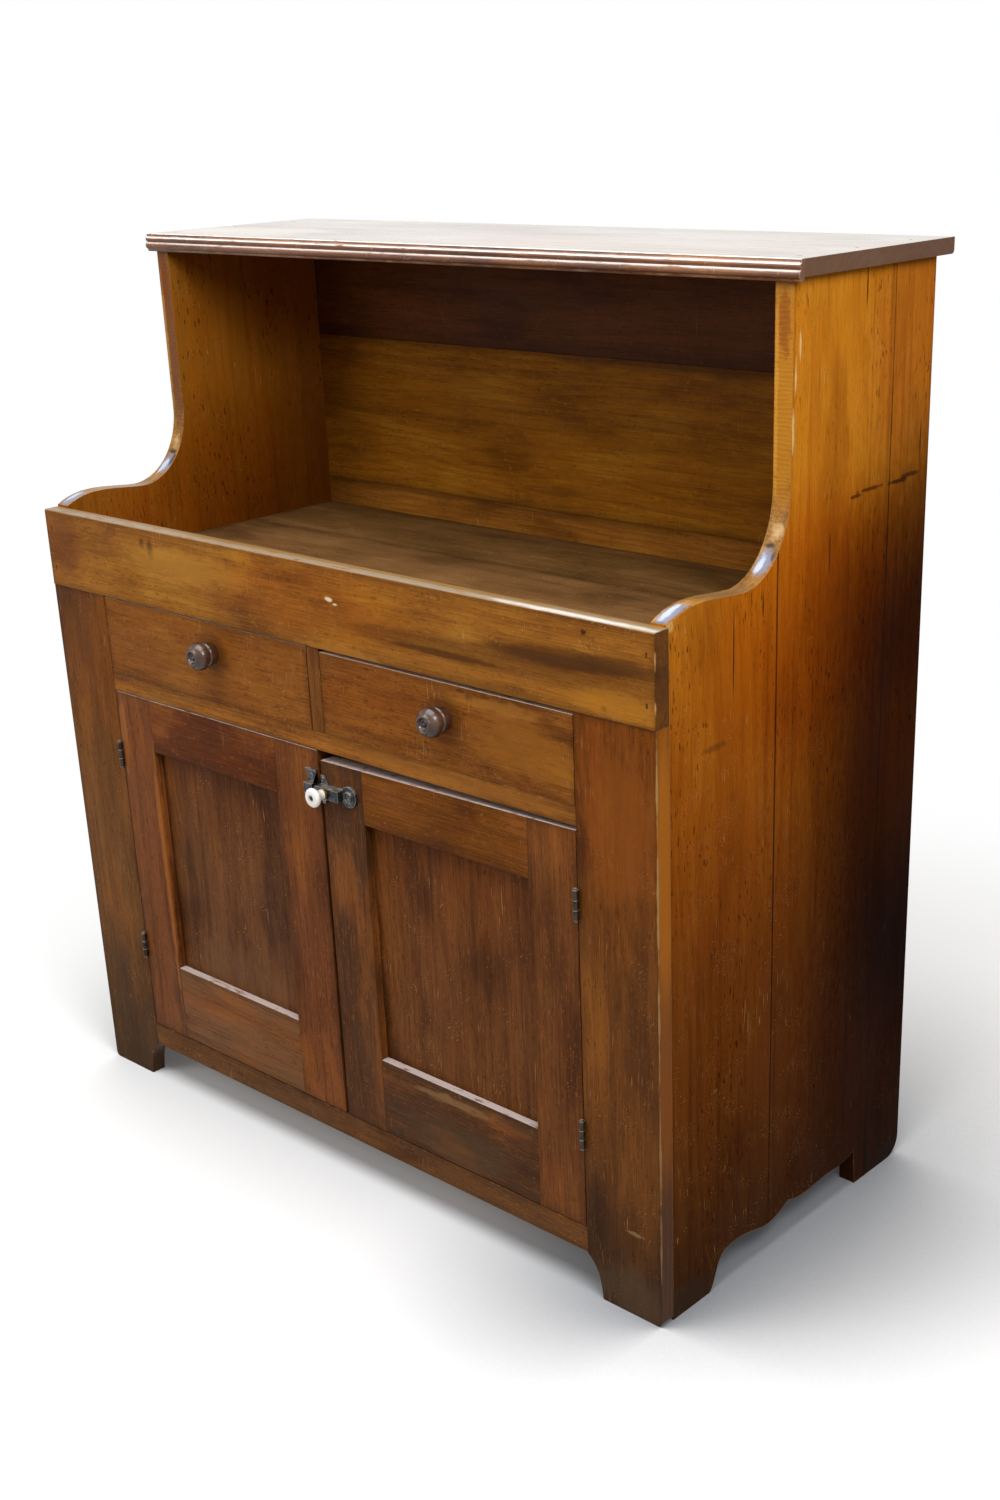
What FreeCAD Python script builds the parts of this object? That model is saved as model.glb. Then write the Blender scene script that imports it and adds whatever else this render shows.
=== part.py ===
import FreeCAD, Part
import os

from FreeCAD import Vector

# A dry sink cabinet in solid wood: a hutch with a moulded top, a shallow open sink behind a
# splash board, two drawers and two panelled doors. Millimetres, +Z up, front towards -Y.
# The pieces are laid out with y = 0 on the front faces of the stiles and doors; the last
# section moves them so that the origin is the bottom centre of the whole cabinet.

# ---- Driving dimensions: case ----
case_width = 1110.0
case_depth = 528.0
side_height = 1211.0
side_thickness = 24.0
side_front_board_width = 196.0
side_middle_board_width = 225.0
top_thickness = 19.0
top_side_overhang = 13.0
top_rear_overhang = 17.0
top_rear_radius = 5.0

# ---- Driving dimensions: front frame ----
frame_thickness = 22.0
stile_width = 118.0
bottom_rail_z = 59.0
bottom_rail_height = 36.0
door_opening_height = 534.0
middle_rail_height = 25.0
drawer_opening_height = 113.0
divider_width = 23.0
divider_x = 2.0
splash_height = 108.0
splash_proud = 1.0
splash_edge_radius = 2.5
frame_tenon_length = 26.0
frame_tenon_thickness = 8.0
frame_tenon_shoulder = 4.0
divider_tenon_length = 8.0

# ---- Driving dimensions: curved outlines of the sides ----
hutch_front_y = 240.0
hutch_bend_depth = 84.0
hutch_bend_height = 100.0
curve_low_z = 885.0
curve_inflection = (118.0, 888.4)
curve_crown = (85.0, 891.0)
curve_front_z = 878.0
rear_foot_width = 108.0
rear_foot_heel_radius = 28.0
rear_foot_notch = (416.0, 53.0)
scallop_rear = [(396.0, 48.0), (375.0, 46.0)]
scallop_middle = [(330.0, 46.5), (297.0, 45.0), (262.0, 52.0)]
scallop_pendant = [(243.0, 43.5), (217.0, 38.5), (185.0, 45.0), (150.0, 50.5), (125.0, 47.0)]
scallop_front = [(115.0, 38.0), (104.0, 14.0)]
front_foot_depth = 95.0
stile_foot_cut = 24.5
stile_foot_curve = [(7.0, 7.0), (16.5, 21.0), (22.0, 41.0)]
stile_corner_radius = 8.0

# ---- Driving dimensions: top moulding ----
moulding_height = 24.0
moulding_depth = 9.5
moulding_fillet_depth = 6.0
moulding_top_fillet = 4.5
upper_bead_height = 6.0
upper_bead_crown = 3.8
upper_bead_depth = 8.6
bead_groove_height = 1.2
bead_groove_depth = 6.8
lower_bead_height = 9.4

# ---- Driving dimensions: back, floors, shelf and drawer framing ----
back_thickness = 13.0
back_rabbet = 12.0
back_bottom_z = 66.0
back_lower_count = 3
back_lower_top_z = 840.0
back_upper_joint_z = 1062.0
back_board_play = 0.3
sink_floor_z = 800.0
sink_floor_thickness = 18.0
sink_front_board_width = 150.0
sink_middle_board_width = 180.0
cleat_thickness = 18.0
cleat_height = 25.0
cleat_end_gap = 18.0
cupboard_floor_thickness = 18.0
cupboard_floor_front_width = 240.0
floor_cleat_height = 18.0
shelf_z = 368.0
shelf_thickness = 18.0
shelf_setback = 48.0
rear_rail_thickness = 20.0
runner_thickness = 20.0
runner_bearing = 22.0
guide_width = 20.0
guide_height = 24.0
kicker_width = 30.0
kicker_gap = 1.5

# ---- Driving dimensions: drawers ----
drawer_side_gap = 1.5
drawer_seat_gap = 0.3
left_drawer_top_gap = 2.0
right_drawer_top_gap = 5.0
drawer_front_thickness = 20.0
drawer_length = 440.0
drawer_side_thickness = 12.0
drawer_back_thickness = 12.0
drawer_side_drop = 6.0
drawer_bottom_thickness = 7.0
drawer_bottom_height = 9.0
drawer_groove_depth = 5.0
drawer_back_housing = 4.0
dovetail_lap = 8.0
dovetail_count = 3
dovetail_pin_width = 9.0
dovetail_flare = 2.2
dovetail_half_pin = 7.0
joint_clearance = 0.05

# ---- Driving dimensions: turned drawer knobs ----
left_knob_x = -203.0
right_knob_x = 231.0
left_knob_z = 724.0
right_knob_z = 718.5
knob_reach = 35.0
knob_head_radius = 19.5
knob_head_back = 13.0
knob_rim_round = 4.0
knob_face_radius = 10.0
knob_neck_radius = 13.0
knob_dome_swell = 2.5
knob_base_radius = 17.0
knob_base_length = 8.0
knob_dish_radius = 7.5
knob_dish_depth = 3.0
knob_nipple_radius = 2.4
knob_nipple_height = 2.2
knob_tenon_radius = 6.5
knob_tenon_clearance = 0.05

# ---- Driving dimensions: doors ----
door_thickness = 22.0
door_side_gap = 1.5
door_bottom_gap = 1.5
door_meeting_gap = 6.0
door_meeting_x = -2.0
left_door_top_gap = 1.0
right_door_top_gap_hinge = 4.5
right_door_top_gap_free = 13.0
door_stile_width = 76.0
left_lock_stile_width = 86.0
left_top_rail_height = 77.5
left_bottom_rail_height = 115.5
right_top_rail_height = 80.0
right_bottom_rail_height = 110.5
panel_recess = 12.0
panel_thickness = 6.5
panel_groove_depth = 8.0
panel_play = 1.0
door_tenon_length = 45.0
door_tenon_thickness = 6.5
door_tenon_shoulder = 12.0

# ---- Driving dimensions: butt hinges ----
hinge_length = 38.0
hinge_upper_z = 533.5
hinge_lower_z = 229.0
hinge_barrel_radius = 3.4
hinge_face_gap = 0.3
hinge_pin_radius = 1.5
hinge_pin_clearance = 0.05
hinge_leaf_thickness = 1.6
hinge_leaf_width = 20.0
hinge_knuckle_gap = 0.3
hinge_tip_radius = 2.2
hinge_tip_height = 2.0
hinge_screw_inset = 8.0
hinge_screw_head_radius = 2.8
hinge_screw_shank_radius = 1.4
hinge_screw_length = 15.0
hinge_screw_y = 13.0

# ---- Driving dimensions: cupboard latch ----
latch_z = 578.0
latch_door_margin = 1.0
latch_case_height = 15.0
latch_case_depth = 13.0
latch_case_length = 42.0
latch_wall = 2.2
latch_plate_thickness = 2.5
latch_ear_length = 6.0
latch_ear_height = 38.0
latch_ear_flank = 6.0
latch_lobe_x = 54.0
latch_lobe_radius = 14.0
latch_lobe_thickness = 4.0
latch_boss_radius = 7.5
latch_boss_height = 3.0
latch_bolt_play = 0.3
latch_bolt_travel = 12.0
latch_bolt_nose_x = -3.0
latch_bolt_length = 26.0
latch_nose_bevel = 4.0
latch_knob_x = 18.5
latch_stem_radius = 3.0
latch_stem_play = 0.4
latch_ferrule_radius = 7.5
latch_ferrule_length = 4.0
latch_ferrule_gap = 0.3
latch_knob_length = 18.5
latch_knob_radius = 13.0
latch_knob_neck_radius = 6.8
latch_knob_neck_length = 6.0
latch_knob_face_round = 2.6
latch_knob_well_radius = 3.2
latch_knob_well_depth = 2.5
latch_pin_radius = 1.8
latch_pin_head_radius = 2.9
latch_pin_head_height = 1.6
latch_pin_clearance = 0.05
latch_screw_head_radius = 3.2
latch_screw_head_height = 1.5
latch_screw_shank_radius = 1.6
latch_screw_length = 16.0
latch_ear_screw_drop = 14.5
keeper_margin = 0.7
keeper_width = 19.5
keeper_rise = 24.0
keeper_drop = 19.0
keeper_plate_thickness = 2.0
keeper_lip_depth = 5.0
keeper_bolt_gap = 2.0
keeper_box_wall = 2.0
keeper_end_bevel = 4.0
keeper_screw_drop = 14.5

# ---- Driving dimensions: screws and cut nails ----
screw_sides = 8
nail_head_length = 6.0
nail_head_width = 3.0
nail_head_height = 1.2
nail_shank_width = 2.4
nail_shank_length = 38.0
nail_tip_width = 1.0
nail_end_margin = 26.0
stile_nail_count = 4
splash_nail_count = 2
top_nail_count = 3

# ---- Places worked out from the driving dimensions ----
x_outer = case_width / 2
x_inner = x_outer - side_thickness
x_open = x_outer - stile_width
top_x = x_outer + top_side_overhang
door_opening_z = bottom_rail_z + bottom_rail_height
middle_rail_z = door_opening_z + door_opening_height
drawer_opening_z = middle_rail_z + middle_rail_height
splash_z = drawer_opening_z + drawer_opening_height
splash_top_z = splash_z + splash_height
top_z = side_height + top_thickness
back_y = case_depth - back_thickness
side_joint_front_y = frame_thickness + side_front_board_width
side_joint_rear_y = side_joint_front_y + side_middle_board_width
divider_left_x = divider_x - divider_width / 2
divider_right_x = divider_x + divider_width / 2
rear_rail_y = back_y - rear_rail_thickness
sink_floor_under_z = sink_floor_z - sink_floor_thickness
floor_under_z = door_opening_z - cupboard_floor_thickness
shelf_y = frame_thickness + shelf_setback
left_door_x = -x_open + door_side_gap
left_door_edge_x = door_meeting_x - door_meeting_gap / 2
right_door_edge_x = door_meeting_x + door_meeting_gap / 2
right_door_x = x_open - door_side_gap
door_z = door_opening_z + door_bottom_gap
hinge_x = x_open - door_side_gap / 2
hinge_y = -hinge_barrel_radius - hinge_face_gap
latch_case_x = right_door_edge_x + latch_door_margin
latch_front_y = -latch_case_depth


# ---- Small shared helpers ----
def block(x0, x1, y0, y1, z0, z1):
    """A rectangular board between two corners."""
    return Part.makeBox(x1 - x0, y1 - y0, z1 - z0, Vector(x0, y0, z0))


def rod(radius, length, at, axis):
    """A round rod from a point along an axis."""
    return Part.makeCylinder(radius, length, at, axis)


def smooth(points):
    """A smooth edge through a few points."""
    curve = Part.BSplineCurve()
    curve.interpolate(points)
    return curve.toShape()


def line(a, b):
    """A straight edge."""
    return Part.LineSegment(a, b).toShape()


def arc(a, middle, b):
    """A circular edge through three points."""
    return Part.Arc(a, middle, b).toShape()


def prism(edges, along):
    """The solid swept by a closed outline of edges."""
    return Part.Face(Part.Wire(Part.__sortEdges__(edges))).extrude(along)


def polygon(points, along):
    """The solid swept by a closed outline of straight edges."""
    return Part.Face(Part.makePolygon(points + points[:1])).extrude(along)


def screw(at, axis, head_radius, head_height, shank_radius, length):
    """A flat-headed wood screw with eight-sided head and shank, its head at a point."""
    across = Vector(0, 0, 1)
    parts = []
    for radius, reach in ((head_radius, head_height), (shank_radius, length)):
        corners = []
        for i in range(screw_sides):
            spoke = FreeCAD.Rotation(axis, 360 * (i + 0.5) / screw_sides).multVec(across)
            corners.append(at + spoke * radius)
        parts.append(polygon(corners, axis * reach))
    return parts[0].fuse(parts[1]).removeSplitter()


def turned(profile, axis_x, axis_z):
    """A solid turned about a line along Y, from (radius, distance in front) points."""
    points = [Vector(radius, -reach, 0) for radius, reach in profile]
    face = Part.Face(Part.makePolygon(points + points[:1]))
    body = face.revolve(Vector(0, 0, 0), Vector(0, 1, 0), 360)
    body.translate(Vector(axis_x, 0, axis_z))
    return body


def side_point(y, z):
    """A point of a side's outline, in the plane x = 0."""
    return Vector(0, y, z)


def spread(low, high, count):
    """Evenly spaced places from low to high."""
    return [low + (high - low) * i / (count - 1) for i in range(count)]


def mirrored(shape):
    """The same piece for the other side of the cabinet."""
    return shape.mirror(Vector(0, 0, 0), Vector(1, 0, 0))


# ---- Cut nails, which the boards are bored for ----
def nail_section(width, z):
    """The outline of a nail's shank at a height, tapered in one direction only."""
    half_w = width / 2
    half_s = nail_shank_width / 2
    corners = [Vector(-half_w, -half_s, z), Vector(half_w, -half_s, z),
               Vector(half_w, half_s, z), Vector(-half_w, half_s, z)]
    return Part.makePolygon(corners + corners[:1])


def cut_nail(at, direction):
    """A square tapered nail, its head flush with the surface at a point."""
    half_l = nail_head_length / 2
    half_w = nail_head_width / 2
    head = block(-half_w, half_w, -half_l, half_l, -nail_head_height, 0)
    top = nail_section(nail_shank_width, -nail_head_height)
    tip = nail_section(nail_tip_width, -nail_shank_length)
    nail = head.fuse(Part.makeLoft([top, tip], True, True))
    nail.rotate(Vector(0, 0, 0), Vector(1, 0, 0), {"back": 90, "down": 0}[direction])
    nail.translate(at)
    return nail


def stile_nails():
    """The nails through the stiles into the front edges of the sides."""
    x = x_outer - side_thickness / 2
    heights = spread(bottom_rail_z + nail_end_margin, splash_z - nail_end_margin, stile_nail_count)
    return [cut_nail(Vector(s * x, 0, z), "back") for s in (-1, 1) for z in heights]


def splash_nails():
    """The nails through the ends of the splash board into the sides."""
    x = x_outer - side_thickness / 2
    heights = spread(splash_z + nail_end_margin, splash_top_z - nail_end_margin, splash_nail_count)
    return [cut_nail(Vector(s * x, -splash_proud, z), "back") for s in (-1, 1) for z in heights]


def top_nails():
    """The nails down through the top board into the sides."""
    x = x_outer - side_thickness / 2
    depths = spread(hutch_front_y + nail_end_margin, back_y - nail_end_margin, top_nail_count)
    return [cut_nail(Vector(s * x, y, top_z), "down") for s in (-1, 1) for y in depths]


# ---- Sides: three boards glued edge to edge, with the curved front and the scalloped foot ----
def side_outline():
    """The whole outline of a side in the plane x = 0, as a closed list of edges."""
    low = side_point(hutch_front_y - hutch_bend_depth, curve_low_z)
    bend_top = side_point(hutch_front_y, curve_low_z + hutch_bend_height)
    centre = side_point(hutch_front_y - hutch_bend_depth, curve_low_z + hutch_bend_height)
    oval = Part.Ellipse(low, bend_top, centre)
    bend = Part.ArcOfEllipse(oval, *sorted([oval.parameter(low), oval.parameter(bend_top)])).toShape()
    crown = smooth([low] + [side_point(*p) for p in (curve_inflection, curve_crown)]
                   + [side_point(frame_thickness, curve_front_z)])
    heel_y = case_depth - rear_foot_heel_radius
    bevel = rear_foot_heel_radius * (1 - 0.5 ** 0.5)
    toe = side_point(case_depth - rear_foot_width, 0)
    notch = side_point(*rear_foot_notch)
    rear = [side_point(*p) for p in scallop_rear]
    middle = [side_point(*p) for p in scallop_middle]
    pendant = [side_point(*p) for p in scallop_pendant]
    front = [side_point(*p) for p in scallop_front]
    front_toe = side_point(front_foot_depth, 0)
    return [bend, crown,
            line(bend_top, side_point(hutch_front_y, side_height)),
            line(side_point(hutch_front_y, side_height), side_point(case_depth, side_height)),
            line(side_point(case_depth, side_height), side_point(case_depth, rear_foot_heel_radius)),
            arc(side_point(case_depth, rear_foot_heel_radius), side_point(case_depth - bevel, bevel),
                side_point(heel_y, 0)),
            line(side_point(heel_y, 0), toe),
            line(toe, notch),
            smooth([notch] + rear),
            smooth(rear[-1:] + middle),
            smooth(middle[-1:] + pendant),
            smooth(pendant[-1:] + front + [front_toe]),
            line(front_toe, side_point(frame_thickness, 0)),
            line(side_point(frame_thickness, 0), side_point(frame_thickness, curve_front_z))]


def right_side():
    """The right side's three boards, rabbeted at the rear for the back boards."""
    panel = prism(side_outline(), Vector(side_thickness, 0, 0))
    panel.translate(Vector(x_inner, 0, 0))
    rabbet = block(x_inner, x_inner + back_rabbet, back_y, case_depth, back_bottom_z, side_height)
    panel = panel.cut(rabbet).cut(Part.makeCompound(stile_nails() + splash_nails() + top_nails()))
    joints = [frame_thickness, side_joint_front_y, side_joint_rear_y, case_depth]
    boards = [panel.common(block(x_inner, x_outer, a, b, 0, side_height)) for a, b in zip(joints, joints[1:])]
    return Part.makeCompound(boards)


# ---- Top board and its reeded moulding ----
def top_board():
    """The top board, its lower rear edge rounded over."""
    rear = case_depth + top_rear_overhang
    board = block(-top_x, top_x, hutch_front_y, rear, side_height, top_z)
    under_rear = [e for e in board.Edges
                  if abs(e.CenterOfMass.y - rear) < joint_clearance
                  and abs(e.CenterOfMass.z - side_height) < joint_clearance]
    board = board.makeFillet(top_rear_radius, under_rear)
    return board.cut(Part.makeCompound(top_nails()))


def moulding_point(reach, drop):
    """A point of the strip's section, from the hutch's front and the top's upper face."""
    return side_point(hutch_front_y - reach, top_z - drop)


def top_moulding():
    """A strip with a fillet, a small bead, a large one below it and a lower fillet."""
    groove_drop = moulding_top_fillet + upper_bead_height
    lower_drop = groove_drop + bead_groove_height
    bead_end = lower_drop + lower_bead_height
    upper = arc(moulding_point(moulding_fillet_depth, moulding_top_fillet),
                moulding_point(upper_bead_depth, moulding_top_fillet + upper_bead_crown),
                moulding_point(bead_groove_depth, groove_drop))
    lower = arc(moulding_point(bead_groove_depth, lower_drop),
                moulding_point(moulding_depth, (lower_drop + bead_end) / 2),
                moulding_point(moulding_fillet_depth, bead_end))
    foot = moulding_point(moulding_fillet_depth, moulding_height)
    rear_foot, rear_top = moulding_point(0, moulding_height), moulding_point(0, 0)
    nose = moulding_point(moulding_fillet_depth, 0)
    edges = [line(rear_top, nose),
             line(nose, moulding_point(moulding_fillet_depth, moulding_top_fillet)), upper,
             line(moulding_point(bead_groove_depth, groove_drop),
                  moulding_point(bead_groove_depth, lower_drop)), lower,
             line(moulding_point(moulding_fillet_depth, bead_end), foot),
             line(foot, rear_foot), line(rear_foot, rear_top)]
    strip = prism(edges, Vector(2 * top_x, 0, 0))
    strip.translate(Vector(-top_x, 0, 0))
    return strip


# ---- Front frame ----
def rail_tenon(x0, x1, z0, z1):
    """A tenon in the middle of the frame's thickness, shouldered above and below."""
    y0 = (frame_thickness - frame_tenon_thickness) / 2
    return block(x0, x1, y0, y0 + frame_tenon_thickness, z0 + frame_tenon_shoulder, z1 - frame_tenon_shoulder)


def frame_rail(z0, z1):
    """A rail between the stiles with a tenon on each end."""
    rail = block(-x_open, x_open, 0, frame_thickness, z0, z1)
    reach = x_open + frame_tenon_length
    return rail.fuse(rail_tenon(-reach, reach, z0, z1)).removeSplitter()


def right_stile():
    """The right stile, its foot cut to a curve and mortised for the rails."""
    foot = [Vector(x_open + dx, 0, bottom_rail_z - dz) for dx, dz in stile_foot_curve]
    start = Vector(x_open, 0, bottom_rail_z)
    toe = Vector(x_open + stile_foot_cut, 0, 0)
    round_off = stile_corner_radius * (1 - 0.5 ** 0.5)
    edges = [smooth([start] + foot + [toe]),
             line(toe, Vector(x_outer - stile_corner_radius, 0, 0)),
             arc(Vector(x_outer - stile_corner_radius, 0, 0), Vector(x_outer - round_off, 0, round_off),
                 Vector(x_outer, 0, stile_corner_radius)),
             line(Vector(x_outer, 0, stile_corner_radius), Vector(x_outer, 0, splash_z)),
             line(Vector(x_outer, 0, splash_z), Vector(x_open, 0, splash_z)),
             line(Vector(x_open, 0, splash_z), start)]
    stile = prism(edges, Vector(0, frame_thickness, 0))
    tenon_x = x_open + frame_tenon_length
    stile = stile.cut(rail_tenon(x_open, tenon_x, bottom_rail_z, door_opening_z))
    stile = stile.cut(rail_tenon(x_open, tenon_x, middle_rail_z, drawer_opening_z))
    stile = stile.cut(hinge_mortises(x_open, x_open + hinge_leaf_thickness, hinge_frame_screws()))
    return stile.cut(Part.makeCompound(stile_nails()))


def divider_tenon(z0, z1):
    """A stub tenon on an end of the drawer divider."""
    y0 = (frame_thickness - frame_tenon_thickness) / 2
    return block(divider_left_x + frame_tenon_shoulder, divider_right_x - frame_tenon_shoulder,
                 y0, y0 + frame_tenon_thickness, z0, z1)


def drawer_divider():
    """The upright between the two drawers."""
    post = block(divider_left_x, divider_right_x, 0, frame_thickness, drawer_opening_z, splash_z)
    tenons = divider_tenon(drawer_opening_z - divider_tenon_length, splash_z + divider_tenon_length)
    return post.fuse(tenons).removeSplitter()


def middle_rail():
    """The rail under the drawers, mortised for the divider."""
    return frame_rail(middle_rail_z, drawer_opening_z).cut(
        divider_tenon(drawer_opening_z - divider_tenon_length, drawer_opening_z))


def splash_board():
    """The board in front of the sink, nailed over the front edges of the sides."""
    board = block(-x_outer, x_outer, -splash_proud, frame_thickness, splash_z, splash_top_z)
    worn = [e for e in board.Edges
            if abs(e.CenterOfMass.y + splash_proud) < joint_clearance
            and abs(e.CenterOfMass.z - splash_top_z) < joint_clearance]
    board = board.makeFillet(splash_edge_radius, worn)
    return board.cut(divider_tenon(splash_z, splash_z + divider_tenon_length)).cut(
        Part.makeCompound(splash_nails()))


# ---- Back boards, floors, shelf and cleats ----
def back_board(z0, z1):
    """One horizontal back board in the rabbets of the sides."""
    x = x_inner + back_rabbet
    return block(-x, x, back_y, case_depth, z0 + back_board_play, z1)


def lower_back_boards():
    """The equal back boards behind the cupboard and the drawers."""
    joints = spread(back_bottom_z, back_lower_top_z, back_lower_count + 1)
    return Part.makeCompound([back_board(a, b) for a, b in zip(joints, joints[1:])])


def floor_board(y0, y1, z0, z1):
    """A board laid lengthwise between the sides."""
    return block(-x_inner, x_inner, y0, y1, z0, z1)


def cleat_pair(y0, z0, z1):
    """The two cleats on the inner faces of the sides that carry a floor or shelf."""
    cleat = block(x_inner - cleat_thickness, x_inner, y0, rear_rail_y, z0, z1)
    return [cleat, mirrored(cleat)]


def side_cleats():
    """The cleats under the sink floor, the shelf and the cupboard floor."""
    front_y = frame_thickness + cleat_end_gap
    shelf_under_z = shelf_z - shelf_thickness
    cleats = cleat_pair(front_y, sink_floor_under_z - cleat_height, sink_floor_under_z)
    cleats += cleat_pair(shelf_y, shelf_under_z - cleat_height, shelf_under_z)
    cleats += cleat_pair(front_y, floor_under_z - floor_cleat_height, floor_under_z)
    return Part.makeCompound(cleats)


def sink_front_cleat():
    """The cleat behind the splash board under the front of the sink floor."""
    x = x_inner - cleat_thickness
    return block(-x, x, frame_thickness, frame_thickness + cleat_end_gap, splash_z, sink_floor_under_z)


# ---- Drawer framing ----
def outer_runners():
    """The two L-shaped runners beside the stiles, each with its drawer guide."""
    guide_x = x_open + guide_width
    base_z = drawer_opening_z - runner_thickness
    base = block(x_open - runner_bearing, guide_x, frame_thickness, rear_rail_y, base_z, drawer_opening_z)
    guide = block(x_open, guide_x, frame_thickness, rear_rail_y, drawer_opening_z,
                  drawer_opening_z + guide_height)
    runner = base.fuse(guide).removeSplitter()
    return Part.makeCompound([mirrored(runner), runner])


def centre_runner():
    """The T-shaped runner behind the divider, shared by the two drawers."""
    base = block(divider_left_x - runner_bearing, divider_right_x + runner_bearing,
                 frame_thickness, rear_rail_y, drawer_opening_z - runner_thickness, drawer_opening_z)
    guide = block(divider_left_x, divider_right_x, frame_thickness, rear_rail_y,
                  drawer_opening_z, drawer_opening_z + guide_height)
    return base.fuse(guide).removeSplitter()


def rear_rail():
    """The cross rail at the back that carries the runners."""
    return floor_board(rear_rail_y, back_y, middle_rail_z, drawer_opening_z)


def kickers():
    """A strip over each drawer that stops it tipping when it is drawn out."""
    strips = []
    for x0, x1 in ((-x_open, divider_left_x), (divider_right_x, x_open)):
        x = (x0 + x1 - kicker_width) / 2
        strips.append(block(x, x + kicker_width, frame_thickness + cleat_end_gap, rear_rail_y,
                            splash_z - kicker_gap, sink_floor_under_z))
    return Part.makeCompound(strips)


# ---- Drawers ----
class Drawer:
    """One drawer: a front with half-blind dovetails, two sides, a back and a bottom."""

    def __init__(self, opening_x0, opening_x1, top_gap, knob_x, knob_z):
        self.x0 = opening_x0 + drawer_side_gap
        self.x1 = opening_x1 - drawer_side_gap
        self.z0 = drawer_opening_z + drawer_seat_gap
        self.z1 = splash_z - top_gap
        self.side_z1 = splash_z - left_drawer_top_gap - drawer_side_drop
        self.knob_x = knob_x
        self.knob_z = knob_z

    def tails(self, x0, grow):
        """The tails of one side, with a clearance for the sockets that take them."""
        base_y = drawer_front_thickness
        tip_y = dovetail_lap - grow
        step = (self.side_z1 - self.z0 - 2 * dovetail_half_pin + dovetail_pin_width) / dovetail_count
        tails = []
        for i in range(dovetail_count):
            low = self.z0 + dovetail_half_pin + i * step - grow
            high = low + step - dovetail_pin_width + 2 * grow
            outline = [Vector(x0, base_y, low + dovetail_flare), Vector(x0, tip_y, low),
                       Vector(x0, tip_y, high), Vector(x0, base_y, high - dovetail_flare)]
            tails.append(polygon(outline, Vector(drawer_side_thickness + grow, 0, 0)))
        return tails

    def groove(self):
        """The groove for the bottom, in the inner faces of the front and the sides."""
        z = self.z0 + drawer_bottom_height
        depth = drawer_groove_depth
        return block(self.x0 + drawer_side_thickness - depth, self.x1 - drawer_side_thickness + depth,
                     drawer_front_thickness - depth, drawer_length,
                     z, z + drawer_bottom_thickness)

    def front(self):
        """The front, socketed at both ends, grooved for the bottom and bored for the knob."""
        front = block(self.x0, self.x1, 0, drawer_front_thickness, self.z0, self.z1)
        for tail in self.tails(self.x0, joint_clearance):
            front = front.cut(tail)
        for tail in self.tails(self.x1 - drawer_side_thickness - joint_clearance, joint_clearance):
            front = front.cut(tail)
        bore = rod(knob_tenon_radius + knob_tenon_clearance, drawer_front_thickness,
                   Vector(self.knob_x, 0, self.knob_z), Vector(0, 1, 0))
        return front.cut(self.groove()).cut(bore)

    def side(self, x0):
        """A side with its tails, its housing for the back and its groove for the bottom."""
        x1 = x0 + drawer_side_thickness
        side = block(x0, x1, drawer_front_thickness, drawer_length, self.z0, self.side_z1)
        side = side.fuse(self.tails(x0, 0)).removeSplitter()
        return side.cut(self.groove()).cut(self.back())

    def sides(self):
        """Both sides."""
        return Part.makeCompound([self.side(self.x0), self.side(self.x1 - drawer_side_thickness)])

    def back(self):
        """The back, housed in the sides above the bottom."""
        inset = drawer_side_thickness - drawer_back_housing
        return block(self.x0 + inset, self.x1 - inset,
                     drawer_length - 2 * drawer_back_thickness, drawer_length - drawer_back_thickness,
                     self.z0 + drawer_bottom_height + drawer_bottom_thickness, self.side_z1)

    def bottom(self):
        """The bottom board, slid into the grooves from behind."""
        return self.groove()

    def knob(self):
        """The turned knob: tenon, base bead, groove, domed head and dished face with a nipple."""
        head_y = knob_head_back
        dome_y = (head_y + knob_rim_round + knob_reach) / 2
        dome_radius = (knob_head_radius + knob_face_radius) / 2 + knob_dome_swell
        dish_floor = knob_reach - knob_dish_depth
        profile = [(0, -drawer_front_thickness), (knob_tenon_radius, -drawer_front_thickness),
                   (knob_tenon_radius, 0), (knob_base_radius, 0),
                   (knob_base_radius, knob_base_length), (knob_neck_radius, knob_base_length),
                   (knob_neck_radius, head_y), (knob_head_radius, head_y),
                   (knob_head_radius, head_y + knob_rim_round), (dome_radius, dome_y),
                   (knob_face_radius, knob_reach), (knob_dish_radius, knob_reach),
                   (knob_dish_radius, dish_floor), (knob_nipple_radius, dish_floor),
                   (knob_nipple_radius, dish_floor + knob_nipple_height),
                   (0, dish_floor + knob_nipple_height)]
        return turned(profile, self.knob_x, self.knob_z)


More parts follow.
